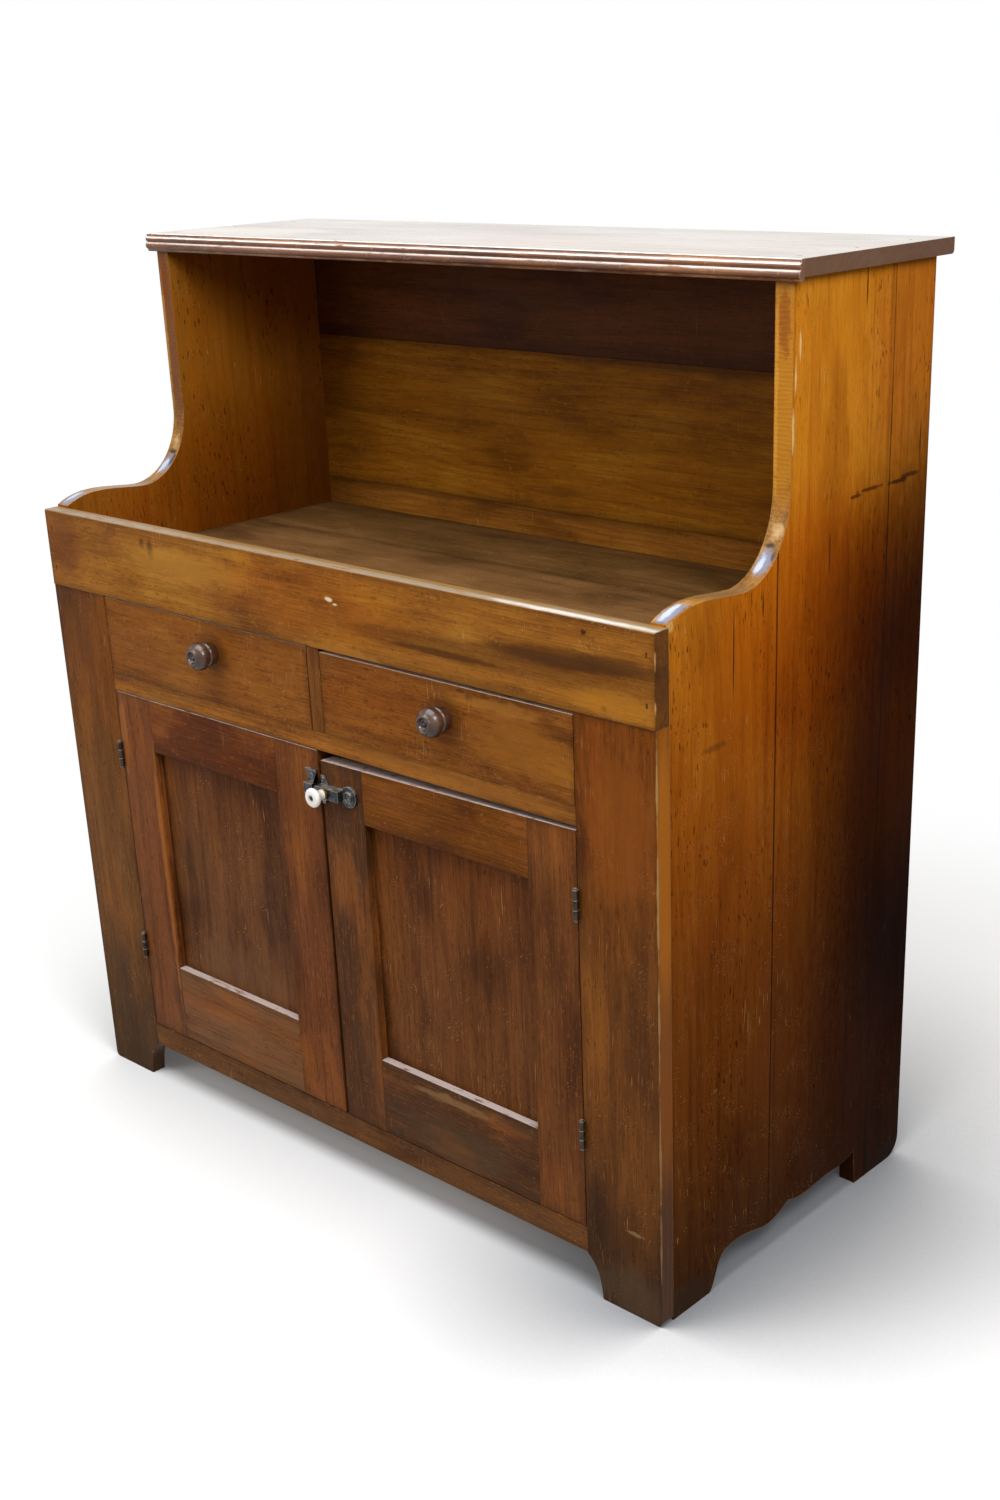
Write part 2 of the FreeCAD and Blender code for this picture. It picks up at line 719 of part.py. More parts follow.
# ---- Panelled doors ----
class Door:
    """One door: two stiles, two rails tenoned into them, and a flat panel in their grooves."""

    def __init__(self, x0, x1, left_stile, right_stile, bottom_height, top_height, top_z0, top_z1):
        self.x0 = x0
        self.x1 = x1
        self.in0 = x0 + left_stile
        self.in1 = x1 - right_stile
        self.z0 = door_z
        self.z1 = max(top_z0, top_z1)
        self.open0 = self.z0 + bottom_height
        self.open1 = self.z1 - top_height
        over = self.z1 + door_thickness
        outline = [Vector(x0, 0, top_z0), Vector(x1, 0, top_z1), Vector(x1, 0, over), Vector(x0, 0, over)]
        self.planed_off = polygon(outline, Vector(0, door_thickness, 0))

    def panel(self, play):
        """The panel, or the space of its grooves when there is no play."""
        reach = panel_groove_depth - play
        return block(self.in0 - reach, self.in1 + reach, panel_recess, panel_recess + panel_thickness,
                     self.open0 - reach, self.open1 + reach)

    def tenons(self, z0, z1):
        """The pair of tenons of a rail, through the width of the door's opening."""
        y0 = (door_thickness - door_tenon_thickness) / 2
        return block(self.in0 - door_tenon_length, self.in1 + door_tenon_length,
                     y0, y0 + door_tenon_thickness, z0 + door_tenon_shoulder, z1 - door_tenon_shoulder)

    def rail(self, z0, z1):
        """A rail with its tenons and its groove."""
        rail = block(self.in0, self.in1, 0, door_thickness, z0, z1)
        tenons = self.tenons(z0, z1)
        return rail.cut(self.panel(0)).fuse(tenons.cut(self.panel(0))).removeSplitter().cut(self.planed_off)

    def bottom_rail(self):
        """The taller rail at the foot of the door."""
        return self.rail(self.z0, self.open0)

    def top_rail(self):
        """The rail at the head of the door."""
        return self.rail(self.open1, self.z1)

    def stile(self, x0, x1):
        """A stile over the full height of the door, grooved and mortised."""
        stile = block(x0, x1, 0, door_thickness, self.z0, self.z1).cut(self.planed_off)
        stile = stile.cut(self.tenons(self.z0, self.open0)).cut(self.tenons(self.open1, self.z1))
        return stile.cut(self.panel(0))


# ---- Butt hinges ----
def hinge_heights():
    """The middle heights of the two hinges of a door."""
    return [hinge_lower_z, hinge_upper_z]


def hinge_mortises(x0, x1, screws):
    """The recesses for the leaves of one edge, and the bores for their screws."""
    half = hinge_length / 2
    recesses = [block(min(x0, x1), max(x0, x1), 0, hinge_leaf_width, z - half, z + half)
                for z in hinge_heights()]
    return Part.makeCompound(recesses).fuse(Part.makeCompound(screws))


def hinge_screw(x, z, side):
    """A wood screw, its head flush with a leaf at x and its point towards side."""
    axis = Vector(side, 0, 0)
    return screw(Vector(x, hinge_screw_y, z), axis, hinge_screw_head_radius, hinge_leaf_thickness,
                 hinge_screw_shank_radius, hinge_screw_length)


def hinge_screw_heights():
    """The heights of all the screws of one row of leaves."""
    reach = hinge_length / 2 - hinge_screw_inset
    return [z + s * reach for z in hinge_heights() for s in (-1, 1)]


def hinge_frame_screws():
    """The screws that hold the right frame leaves to the stile."""
    return [hinge_screw(x_open, z, 1) for z in hinge_screw_heights()]


def hinge_door_screws():
    """The screws that hold the right door leaves to the door."""
    return [hinge_screw(right_door_x, z, -1) for z in hinge_screw_heights()]


def knuckle_spans(z, outer):
    """The heights between which a leaf has knuckles: the outer leaf's two, or the middle one."""
    half = hinge_length / 2
    gap = hinge_knuckle_gap / 2
    inner = hinge_length / 6
    if outer:
        return [(z - half, z - inner - gap), (z + inner + gap, z + half)]
    return [(z - inner + gap, z + inner - gap)]


def hinge_leaf(z, x0, x1, outer, screws):
    """A leaf with its knuckles, clear of the other leaf's knuckles."""
    half = hinge_length / 2
    leaf = block(x0, x1, 0, hinge_leaf_width, z - half, z + half)
    for low, high in knuckle_spans(z, outer):
        barrel = rod(hinge_barrel_radius, high - low, Vector(hinge_x, hinge_y, low), Vector(0, 0, 1))
        leaf = leaf.fuse([block(x0, x1, hinge_y, 0, low, high), barrel])
    return leaf.removeSplitter().cut(Part.makeCompound(screws))


def hinge_pin(z):
    """The pin of a hinge at a height, with a small flat tip above and below the barrel."""
    up = Vector(0, 0, 1)
    low = Vector(hinge_x, hinge_y, z - hinge_length / 2)
    pin = rod(hinge_pin_radius, hinge_length, low, up)
    tips = rod(hinge_tip_radius, hinge_length + 2 * hinge_tip_height, low - up * hinge_tip_height, up)
    between = rod(hinge_barrel_radius, hinge_length, low, up)
    return pin.fuse(tips.cut(between)).removeSplitter()


def hinge_frame_leaves():
    """The right leaves that are let into the stile, with the outer knuckles riveted to the pins."""
    x = x_open + hinge_leaf_thickness
    screws = hinge_frame_screws()
    return Part.makeCompound([hinge_leaf(z, x_open, x, True, screws).fuse(hinge_pin(z)).removeSplitter()
                              for z in hinge_heights()])


def hinge_door_leaves():
    """The right leaves that are let into the door, with the middle knuckles."""
    x = right_door_x - hinge_leaf_thickness
    screws = hinge_door_screws()
    leaves = []
    for z in hinge_heights():
        foot = Vector(hinge_x, hinge_y, z - hinge_length / 2)
        bore = rod(hinge_pin_radius + hinge_pin_clearance, hinge_length, foot, Vector(0, 0, 1))
        leaves.append(hinge_leaf(z, x, right_door_x, False, screws).cut(bore))
    return Part.makeCompound(leaves)


# ---- Cupboard latch: cast case, sliding bolt with a porcelain knob, and keeper ----
def face_screw(x, z, face_y):
    """A wood screw driven into a door through a plate whose face is at face_y."""
    return screw(Vector(x, face_y, z), Vector(0, 1, 0), latch_screw_head_radius, latch_screw_head_height,
                 latch_screw_shank_radius, latch_screw_length)


def latch_screws():
    """Two screws in the ears and one in the lobe of the latch case."""
    x = latch_case_x + latch_ear_length / 2 + latch_screw_shank_radius
    ears = [face_screw(x, latch_z + s * latch_ear_screw_drop, -latch_plate_thickness) for s in (-1, 1)]
    return ears + [face_screw(latch_lobe_x, latch_z, -latch_lobe_thickness)]


def keeper_x():
    """The edge of the keeper that is next to the meeting of the doors."""
    return left_door_edge_x - keeper_margin


def keeper_screws():
    """One screw above and one below the keeper's box."""
    x = keeper_x() - keeper_width / 2
    return [face_screw(x, latch_z + s * keeper_screw_drop, -keeper_plate_thickness) for s in (-1, 1)]


def latch_case():
    """The cast case: an eared plate with a round lobe and a hood that the bolt slides in."""
    x0 = latch_case_x
    x1 = x0 + latch_case_length
    half_ear = latch_ear_height / 2
    half = latch_case_height / 2
    flank_x = x0 + latch_ear_length + latch_ear_flank
    ear = [(x0, -half_ear), (x0 + latch_ear_length, -half_ear), (flank_x, -half), (flank_x, half),
           (x0 + latch_ear_length, half_ear), (x0, half_ear)]
    plate = polygon([Vector(x, 0, latch_z + z) for x, z in ear], Vector(0, -latch_plate_thickness, 0))
    lobe = rod(latch_lobe_radius, latch_lobe_thickness, Vector(latch_lobe_x, 0, latch_z), Vector(0, -1, 0))
    boss = rod(latch_boss_radius, latch_boss_height, Vector(latch_lobe_x, -latch_lobe_thickness, latch_z),
               Vector(0, -1, 0))
    well = rod(latch_screw_head_radius + latch_wall / 2, latch_boss_height,
               Vector(latch_lobe_x, -latch_lobe_thickness, latch_z), Vector(0, -1, 0))
    hood = block(x0, x1, latch_front_y, 0, latch_z - half, latch_z + half)
    body = plate.fuse([lobe, boss, hood]).removeSplitter()
    inside_half = half - latch_wall
    hollow = block(x0, x1 - latch_wall, latch_front_y + latch_wall, -latch_plate_thickness,
                   latch_z - inside_half, latch_z + inside_half)
    slot_half = latch_stem_radius + latch_stem_play
    slot = block(x0, latch_knob_x + slot_half, latch_front_y, latch_front_y + latch_wall,
                 latch_z - slot_half, latch_z + slot_half)
    return body.cut(hollow).cut(slot).cut(well).cut(Part.makeCompound(latch_screws()))


def knob_pin_hole(radius):
    """The line of the pin that holds the porcelain knob to the bolt."""
    end = latch_front_y - latch_ferrule_gap - latch_ferrule_length - latch_knob_length
    start = latch_front_y + latch_wall + latch_bolt_play
    return rod(radius, start + latch_wall - end, Vector(latch_knob_x, end, latch_z), Vector(0, 1, 0))


def latch_bolt():
    """The bolt, bevelled at the nose, with the round stem that passes through the slot."""
    half = latch_case_height / 2 - latch_wall - latch_bolt_play
    back = -latch_plate_thickness - latch_bolt_play
    front = latch_front_y + latch_wall + latch_bolt_play
    x0 = latch_bolt_nose_x
    outline = [Vector(x0, front, latch_z - half), Vector(x0 + latch_bolt_length, front, latch_z - half),
               Vector(x0 + latch_bolt_length, back, latch_z - half),
               Vector(x0 + latch_nose_bevel, back, latch_z - half)]
    bar = polygon(outline, Vector(0, 0, 2 * half))
    stem_end = latch_front_y - latch_ferrule_gap
    stem = rod(latch_stem_radius, front - stem_end, Vector(latch_knob_x, stem_end, latch_z), Vector(0, 1, 0))
    return bar.fuse(stem).removeSplitter().cut(knob_pin_hole(latch_pin_radius))


def latch_ferrule():
    """The brass collar between the bolt's stem and the porcelain."""
    back = -latch_front_y + latch_ferrule_gap
    front = back + latch_ferrule_length
    bore = latch_pin_radius + latch_pin_clearance
    profile = [(bore, back), (latch_ferrule_radius, back), (latch_ferrule_radius, front), (bore, front)]
    return turned(profile, latch_knob_x, latch_z)


def latch_knob():
    """The porcelain knob, turned: a waist that opens to a flat rounded face with a well."""
    back = -latch_front_y + latch_ferrule_gap + latch_ferrule_length
    face = back + latch_knob_length
    waist = back + latch_knob_neck_length
    rim = face - latch_knob_face_round
    profile = [(latch_pin_radius + latch_pin_clearance, back), (latch_knob_neck_radius, back),
               (latch_knob_neck_radius, waist), (latch_knob_radius, rim - latch_knob_face_round),
               (latch_knob_radius, rim),
               (latch_knob_radius - latch_knob_face_round, face), (latch_knob_well_radius, face),
               (latch_knob_well_radius, face - latch_knob_well_depth),
               (latch_pin_radius + latch_pin_clearance, face - latch_knob_well_depth)]
    return turned(profile, latch_knob_x, latch_z)


def latch_knob_pin():
    """The iron pin through the knob, its round head sunk in the well."""
    face = latch_front_y - latch_ferrule_gap - latch_ferrule_length - latch_knob_length
    well = face + latch_knob_well_depth
    end = latch_front_y + latch_wall + latch_bolt_play + latch_wall
    at = Vector(latch_knob_x, well, latch_z)
    shank = rod(latch_pin_radius, end - well, at, Vector(0, 1, 0))
    head = rod(latch_pin_head_radius, latch_pin_head_height, at, Vector(0, -1, 0))
    return shank.fuse(head).removeSplitter()


def latch_keeper():
    """The keeper: a plate with a lip along its top and a box, open to the bolt."""
    x1 = keeper_x()
    x0 = x1 - keeper_width
    foot_z = latch_z - keeper_drop
    head_z = latch_z + keeper_rise
    plate = block(x0, x1, -keeper_plate_thickness, 0, foot_z, head_z)
    lip = block(x0, x1, -keeper_lip_depth, 0, head_z - keeper_plate_thickness, head_z)
    wall = keeper_box_wall
    inner_x = latch_bolt_nose_x - latch_bolt_travel - keeper_bolt_gap
    box_x = inner_x - 2 * wall
    half_box = latch_case_height / 2
    z = latch_z - half_box
    outline = [Vector(box_x, latch_front_y, z), Vector(x1, latch_front_y, z),
               Vector(x1, 0, z), Vector(box_x + keeper_end_bevel, 0, z)]
    box = polygon(outline, Vector(0, 0, latch_case_height))
    inner = [Vector(inner_x, latch_front_y + wall, z + wall),
             Vector(x1, latch_front_y + wall, z + wall),
             Vector(x1, -keeper_plate_thickness, z + wall),
             Vector(box_x + wall + keeper_end_bevel, -keeper_plate_thickness, z + wall)]
    mouth = polygon(inner, Vector(0, 0, latch_case_height - 2 * wall))
    return plate.fuse([lip, box]).removeSplitter().cut(mouth).cut(Part.makeCompound(keeper_screws()))


# ---- The pieces by name ----
nodes = {}


def build_case():
    """The fixed pieces of the case."""
    side = right_side()
    nodes["top_board"] = top_board()
    nodes["top_moulding"] = top_moulding()
    nodes["right_side"] = side
    nodes["left_side"] = mirrored(side)
    nodes["splash_board"] = splash_board()
    stile = right_stile()
    nodes["right_stile"] = stile
    nodes["left_stile"] = mirrored(stile)
    nodes["middle_rail"] = middle_rail()
    nodes["bottom_rail"] = frame_rail(bottom_rail_z, door_opening_z)
    nodes["drawer_divider"] = drawer_divider()
    nodes["upper_back_board"] = back_board(back_upper_joint_z, side_height)
    nodes["hutch_back_board"] = back_board(back_lower_top_z, back_upper_joint_z)
    nodes["lower_back_boards"] = lower_back_boards()
    front_y = frame_thickness + sink_front_board_width
    middle_y = front_y + sink_middle_board_width
    nodes["sink_floor_front_board"] = floor_board(frame_thickness, front_y, sink_floor_under_z, sink_floor_z)
    nodes["sink_floor_middle_board"] = floor_board(front_y, middle_y, sink_floor_under_z, sink_floor_z)
    nodes["sink_floor_rear_board"] = floor_board(middle_y, back_y, sink_floor_under_z, sink_floor_z)
    nodes["sink_front_cleat"] = sink_front_cleat()
    nodes["side_cleats"] = side_cleats()
    nodes["outer_drawer_runners"] = outer_runners()
    nodes["centre_drawer_runner"] = centre_runner()
    nodes["drawer_rear_rail"] = rear_rail()
    nodes["drawer_kickers"] = kickers()
    floor_y = frame_thickness + cupboard_floor_front_width
    nodes["cupboard_floor_boards"] = Part.makeCompound(
        [floor_board(frame_thickness, floor_y, floor_under_z, door_opening_z),
         floor_board(floor_y, back_y, floor_under_z, door_opening_z)])
    nodes["shelf_board"] = floor_board(shelf_y, back_y, shelf_z - shelf_thickness, shelf_z)
    nodes["case_nails"] = Part.makeCompound(stile_nails() + splash_nails() + top_nails())
    leaves = hinge_frame_leaves()
    nodes["frame_hinge_leaves"] = Part.makeCompound([mirrored(leaves), leaves])
    screws = Part.makeCompound(hinge_frame_screws())
    nodes["frame_hinge_screws"] = Part.makeCompound([mirrored(screws), screws])


def build_drawers():
    """The two drawers."""
    drawers = {"left": Drawer(-x_open, divider_left_x, left_drawer_top_gap, left_knob_x, left_knob_z),
               "right": Drawer(divider_right_x, x_open, right_drawer_top_gap, right_knob_x, right_knob_z)}
    for name, drawer in drawers.items():
        nodes[name + "_drawer_front"] = drawer.front()
        nodes[name + "_drawer_sides"] = drawer.sides()
        nodes[name + "_drawer_back"] = drawer.back()
        nodes[name + "_drawer_bottom"] = drawer.bottom()
        nodes[name + "_drawer_knob"] = drawer.knob()


def build_doors():
    """The two doors with their hinge leaves and pins."""
    left_top = middle_rail_z - left_door_top_gap
    left = Door(left_door_x, left_door_edge_x, door_stile_width, left_lock_stile_width,
                left_bottom_rail_height, left_top_rail_height, left_top, left_top)
    right = Door(right_door_edge_x, right_door_x, door_stile_width, door_stile_width,
                 right_bottom_rail_height, right_top_rail_height,
                 middle_rail_z - right_door_top_gap_free, middle_rail_z - right_door_top_gap_hinge)
    right_edge = hinge_mortises(right_door_x, right_door_x - hinge_leaf_thickness, hinge_door_screws())
    left_edge = mirrored(right_edge)
    nodes["left_door_hinge_stile"] = left.stile(left.x0, left.in0).cut(left_edge)
    nodes["left_door_lock_stile"] = left.stile(left.in1, left.x1).cut(Part.makeCompound(keeper_screws()))
    nodes["right_door_lock_stile"] = right.stile(right.x0, right.in0).cut(Part.makeCompound(latch_screws()))
    nodes["right_door_hinge_stile"] = right.stile(right.in1, right.x1).cut(right_edge)
    leaves = hinge_door_leaves()
    screws = Part.makeCompound(hinge_door_screws())
    for name, door, turn in (("left", left, mirrored), ("right", right, Part.Shape.copy)):
        nodes[name + "_door_top_rail"] = door.top_rail().cut(Part.makeCompound(latch_screws()))
        nodes[name + "_door_bottom_rail"] = door.bottom_rail()
        nodes[name + "_door_panel"] = door.panel(panel_play)
        nodes[name + "_door_hinge_leaves"] = turn(leaves)
        nodes[name + "_door_hinge_screws"] = turn(screws)


def build_latch():
    """The latch on the right door and its keeper on the left door."""
    nodes["latch_case"] = latch_case()
    nodes["latch_case_screws"] = Part.makeCompound(latch_screws())
    nodes["latch_bolt"] = latch_bolt()
    nodes["latch_ferrule"] = latch_ferrule()
    nodes["latch_knob"] = latch_knob()
    nodes["latch_knob_pin"] = latch_knob_pin()
    nodes["latch_keeper"] = latch_keeper()
    nodes["latch_keeper_screws"] = Part.makeCompound(keeper_screws())


build_case()
build_drawers()
build_doors()
build_latch()

# ---- Move the origin to the bottom centre of the whole cabinet and write the pieces ----
latch_reach = -latch_front_y + latch_ferrule_gap + latch_ferrule_length + latch_knob_length
front_reach = max(knob_reach, latch_reach)
origin_y = (case_depth + top_rear_overhang - front_reach) / 2
os.makedirs("parts", exist_ok=True)
for name, shape in nodes.items():
    shape = shape.copy()
    shape.translate(Vector(0, -origin_y, 0))
    shape.exportStep("parts/" + name + ".step")
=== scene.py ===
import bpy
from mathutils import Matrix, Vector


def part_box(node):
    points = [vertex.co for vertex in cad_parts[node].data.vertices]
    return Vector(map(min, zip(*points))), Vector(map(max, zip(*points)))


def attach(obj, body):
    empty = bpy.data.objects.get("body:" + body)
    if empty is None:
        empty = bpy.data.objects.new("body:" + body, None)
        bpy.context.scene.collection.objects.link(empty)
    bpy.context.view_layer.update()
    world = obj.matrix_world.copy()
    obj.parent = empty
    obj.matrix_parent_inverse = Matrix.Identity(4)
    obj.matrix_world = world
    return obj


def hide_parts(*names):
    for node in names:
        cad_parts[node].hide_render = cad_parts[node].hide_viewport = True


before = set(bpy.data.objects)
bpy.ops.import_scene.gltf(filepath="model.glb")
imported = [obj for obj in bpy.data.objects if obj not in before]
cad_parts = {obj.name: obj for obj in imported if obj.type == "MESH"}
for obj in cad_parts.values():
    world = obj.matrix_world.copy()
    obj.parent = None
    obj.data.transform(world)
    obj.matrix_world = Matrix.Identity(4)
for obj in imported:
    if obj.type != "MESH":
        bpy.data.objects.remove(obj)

"""Dresses a dry sink cabinet in old shellacked wood, with cast iron and porcelain fittings.

Sizes are millimetres in the dataclass fields and become metres where a mesh is made. Places on the
cabinet are (x, y, z) with x from its middle, y from the front faces of its stiles and z from the floor.
"""

import logging
import math
from dataclasses import dataclass, field, replace
from enum import Enum
from typing import Sequence

import bmesh
import bpy
from mathutils import Matrix, Vector, noise

LOG = logging.getLogger("dry_sink")
MM = 0.001
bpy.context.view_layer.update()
FRONT_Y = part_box("left_stile")[0].y

COORDINATES = "ShaderNodeTexCoord"
GEOMETRY = "ShaderNodeNewGeometry"
SPLIT = "ShaderNodeSeparateXYZ"
JOIN = "ShaderNodeCombineXYZ"
VECTOR = "ShaderNodeVectorMath"
TURN = "ShaderNodeVectorRotate"
MATH = "ShaderNodeMath"
RANGE = "ShaderNodeMapRange"
NOISE = "ShaderNodeTexNoise"
MIX = "ShaderNodeMix"
MIX_A = 6
MIX_B = 7
MIX_OUT = 2
SOFT = "SMOOTHSTEP"

# Both are measured from the cabinet's middle: to a side's outer face, and to the middle of its board.
CASE_HALF_WIDTH = 555.0
SIDE_MIDDLE = 543.0
TO_FRONT = (0, -1, 0)
SHARP = math.radians(35)
FLAT = math.radians(0.5)
PORE = "#2c1206"
GRIME_AND_SHADE = "#1f0f06"

Place = tuple[float, float, float]
Value = bpy.types.NodeSocket | float | tuple
Sockets = dict[str, bpy.types.NodeSocket]


def linear(code: str) -> tuple[float, float, float, float]:
    """Turn an sRGB hex colour into the linear colour that a shader takes.

    Args:
        code: The colour as "#rrggbb".

    Returns:
        Red, green, blue and an alpha of one.
    """
    channels = [int(code[i:i + 2], 16) / 255 for i in (1, 3, 5)]
    curved = [c / 12.92 if c <= 0.04045 else ((c + 0.055) / 1.055) ** 2.4 for c in channels]
    return (curved[0], curved[1], curved[2], 1.0)


def at(place: Place) -> Vector:
    """Turn a place on the cabinet in millimetres into a point of the frame in metres.

    Args:
        place: The (x, y, z) place, with y from the front faces of the stiles.

    Returns:
        The point in metres.
    """
    return Vector((place[0] * MM, place[1] * MM + FRONT_Y, place[2] * MM))


class Grain(Enum):
    """The way a board's grain runs, as the frame's axes (along, across, through)."""

    ACROSS_FRONT = (0, 2, 1)
    UPRIGHT = (2, 0, 1)
    UPRIGHT_SIDE = (2, 1, 0)
    FLAT = (0, 1, 2)
    FRONT_TO_BACK = (1, 0, 2)


class Edge(Enum):
    """How a finish finds the arrises that it wears down."""

    BOX = "the edges of the board's own box"
    CURVED = "the edges of a sawn outline"


class Lay(Enum):
    """How a mark lies on a finish: over it, or as a tint that lets the grain through."""

    COVER = "MIX"
    TINT = "MULTIPLY"


class Graph:
    """The node tree of a material or a world while it is being laid out."""

    def __init__(self, owner: bpy.types.Material | bpy.types.World) -> None:
        """Start an empty tree.

        Args:
            owner: The new material or world.
        """
        owner.use_nodes = True
        self.owner = owner
        self.nodes = owner.node_tree.nodes
        self.links = owner.node_tree.links
        self.nodes.clear()

    def add(self, kind: str, inputs: dict[int | str, Value] | None = None,
            out: int | str = 0, **settings: object) -> bpy.types.NodeSocket | None:
        """Add a node with its settings and its links.

        Args:
            kind: The node's type name.
            inputs: Sockets to link or values to set, by the inputs' names or numbers.
            out: The output to hand back.
            **settings: The node's own properties.

        Returns:
            The chosen output socket, or None where the node has none.
        """
        node = self.nodes.new(kind)
        for key, value in settings.items():
            setattr(node, key, value)
        for key, value in (inputs or {}).items():
            if isinstance(value, bpy.types.NodeSocket):
                self.links.new(value, node.inputs[key])
            else:
                node.inputs[key].default_value = value
        return node.outputs[out] if len(node.outputs) else None

    def finish(self, **inputs: Value) -> bpy.types.Material:
        """Close the tree with a Principled shader.

        Args:
            **inputs: The shader's inputs, with underscores for the spaces in their names.

        Returns:
            The finished material.
        """
        sockets = {key.replace("_", " "): value for key, value in inputs.items()}
        surface = self.add("ShaderNodeBsdfPrincipled", sockets)
        self.add("ShaderNodeOutputMaterial", {"Surface": surface})
        return self.owner


@dataclass(frozen=True)
class Spot:
    """A local mark in a finish: a stain, knot, crack, chip or rubbed place.

    Attributes:
        centre: Its middle on the cabinet.
        reach: Its half sizes along x, y and z.
        colour: Its colour as hex.
        strength: How far it covers the finish, from 0 to 1.
        ragged: How broken its outline is.
        lay: Whether it covers or tints the finish.
    """

    centre: Place
    reach: Place
    colour: str
    strength: float = 0.8
    ragged: float = 0.8
    lay: Lay = Lay.COVER


@dataclass(frozen=True)
class Fade:
    """A slow change of a finish along a line, such as painted shade that darkens towards the floor.

    Attributes:
        start: The place where the change starts.
        end: The place where it is complete.
        colour: The tone that tints the finish there; a dark tone paints shade.
        strength: How strongly it tints, from 0 to 1.
    """

    start: Place
    end: Place
    colour: str
    strength: float = 0.6


@dataclass(frozen=True)
class Wood:
    """Old sawn and planed wood under worn shellac.

    The shellac gives warm, deep colour with a low satin sheen. The grain shows as soft rings, long
    streaks and fine dark pores, and arrises are rubbed down to paler wood.

    Attributes:
        name: The material's name.
        base: Colour between the rings.
        late: Colour of the rings' late wood.
        deep: Colour of dark streaks and blotches.
        bright: Colour of light blotches.
        grain: The way the grain runs.
        pith: Where the tree's heart lay, across and through the board, from its middle.
        lean: How far the heart drifts across the board along its length, as a ratio.
        sway: How far the heart wanders from side to side.
        uneven: How far the rings stray from even places, in rings.
        ring: Width of a year's growth.
        ring_strength: How strongly the late wood shows.
        streak_strength: How strongly long dark streaks show.
        blotch: Size of the blotches across the grain.
        blotch_strength: How strongly the dark blotches show.
        bright_strength: How strongly the light blotches show.
        fleck_strength: How strongly the short dark pores show.
        fibre_strength: How strongly the fine fibres show.
        speck_strength: How strongly fine wear in the shellac shows.
        scratch_strength: How strongly pale scratches show.
        worn: Colour of rubbed arrises.
        wear: Width of the rubbed arris.
        wear_strength: How strongly the rubbed arris shows.
        edge: How arrises are found.
        grime_and_shade_width: Width of the dark border along the board's edges: grime that polishing left,
            and painted shade.
        grime_and_shade_strength: How strongly that border shows.
        ledge: Colour of dust and rubbing on faces that look up, and of the highlight painted on them.
        ledge_strength: How strongly that shows.
        roughness: Micro roughness of the shellac.
        relief: How strongly rings, pores and scratches tilt the light.
        sheen_level: Specular level of the worn shellac.
        flank_sheen: That level on faces that don't look up, if they are duller.
        coat: Weight of a clear, better kept layer of shellac.
        fades: Slow changes along an axis.
        spots: Local marks.
        seed: Number that makes this board's figure its own.
    """

    name: str
    base: str
    late: str
    deep: str
    bright: str
    grain: Grain
    pith: tuple[float, float] = (20.0, 160.0)
    lean: float = 0.02
    sway: float = 90.0
    uneven: float = 2.2
    ring: float = 9.0
    ring_strength: float = 0.35
    streak_strength: float = 0.35
    blotch: float = 60.0
    blotch_strength: float = 0.7
    bright_strength: float = 0.65
    fleck_strength: float = 0.4
    fibre_strength: float = 0.5
    speck_strength: float = 0.55
    scratch_strength: float = 0.55
    worn: str = "#c99a66"
    wear: float = 2.5
    wear_strength: float = 0.75
    edge: Edge = Edge.BOX
    grime_and_shade_width: float = 14.0
    grime_and_shade_strength: float = 0.35
    ledge: str = "#b3998b"
    ledge_strength: float = 0.0
    roughness: float = 0.42
    relief: float = 0.35
    sheen_level: float = 0.05
    flank_sheen: float | None = None
    coat: float = 0.0
    fades: tuple[Fade, ...] = ()
    spots: tuple[Spot, ...] = ()
    seed: float = 1.0

    def figure(self, g: Graph, timber: Value, along: float, across: float, seed: float,
               detail: float = 2.0) -> bpy.types.NodeSocket:
        """Make noise that is drawn out along the grain.

        Args:
            g: The tree to add to.
            timber: The place in the board, along, across and through its grain.
            along: Size of a feature along the grain.
            across: Size of a feature across the grain.
            seed: Number that sets this pattern apart from the others.
            detail: Octaves of finer noise.

        Returns:
            Noise from 0 to 1 about a middle of one half.
        """
        shift = (self.seed + seed) * 7.31
        scaled = g.add(VECTOR, {0: timber, 1: (1 / along, 1 / across, 1 / across),
                                2: (shift, 1.7 * shift, 2.9 * shift)}, operation="MULTIPLY_ADD")
        return g.add(NOISE, {"Vector": scaled, "Scale": 1.0, "Detail": detail})

    def rings(self, g: Graph, timber: Value) -> bpy.types.NodeSocket:
        """Make the yearly rings as they are cut by the board's faces.

        Args:
            g: The tree to add to.
            timber: The place in the board, along, across and through its grain.

        Returns:
            A mask that rises slowly to each ring's late wood and drops sharply after it.
        """
        parts = g.add(SPLIT, {0: timber}).node.outputs
        sway = g.add(MATH, {0: self.figure(g, timber, 420, 150, 1), 1: self.sway,
                            2: -self.sway / 2 - self.pith[0]}, operation="MULTIPLY_ADD")
        drift = g.add(MATH, {0: parts[0], 1: self.lean, 2: sway}, operation="MULTIPLY_ADD")
        across = g.add(MATH, {0: parts[1], 1: drift}, operation="ADD")
        through = g.add(MATH, {0: parts[2], 1: self.pith[1]}, operation="ADD")
        radius = g.add(VECTOR, {0: g.add(JOIN, {0: 0.0, 1: across, 2: through})}, out=1, operation="LENGTH")
        uneven = g.add(MATH, {0: self.figure(g, timber, 300, 40, 2), 1: self.uneven}, operation="MULTIPLY")
        count = g.add(MATH, {0: radius, 1: 1 / self.ring, 2: uneven}, operation="MULTIPLY_ADD")
        year = g.add(MATH, {0: count}, operation="FRACT")
        rise = g.add(RANGE, {0: year, 1: 0.25, 2: 0.9}, interpolation_type=SOFT)
        drop = g.add(RANGE, {0: year, 1: 1.0, 2: 0.93})
        return g.add(MATH, {0: rise, 1: drop}, operation="MULTIPLY")

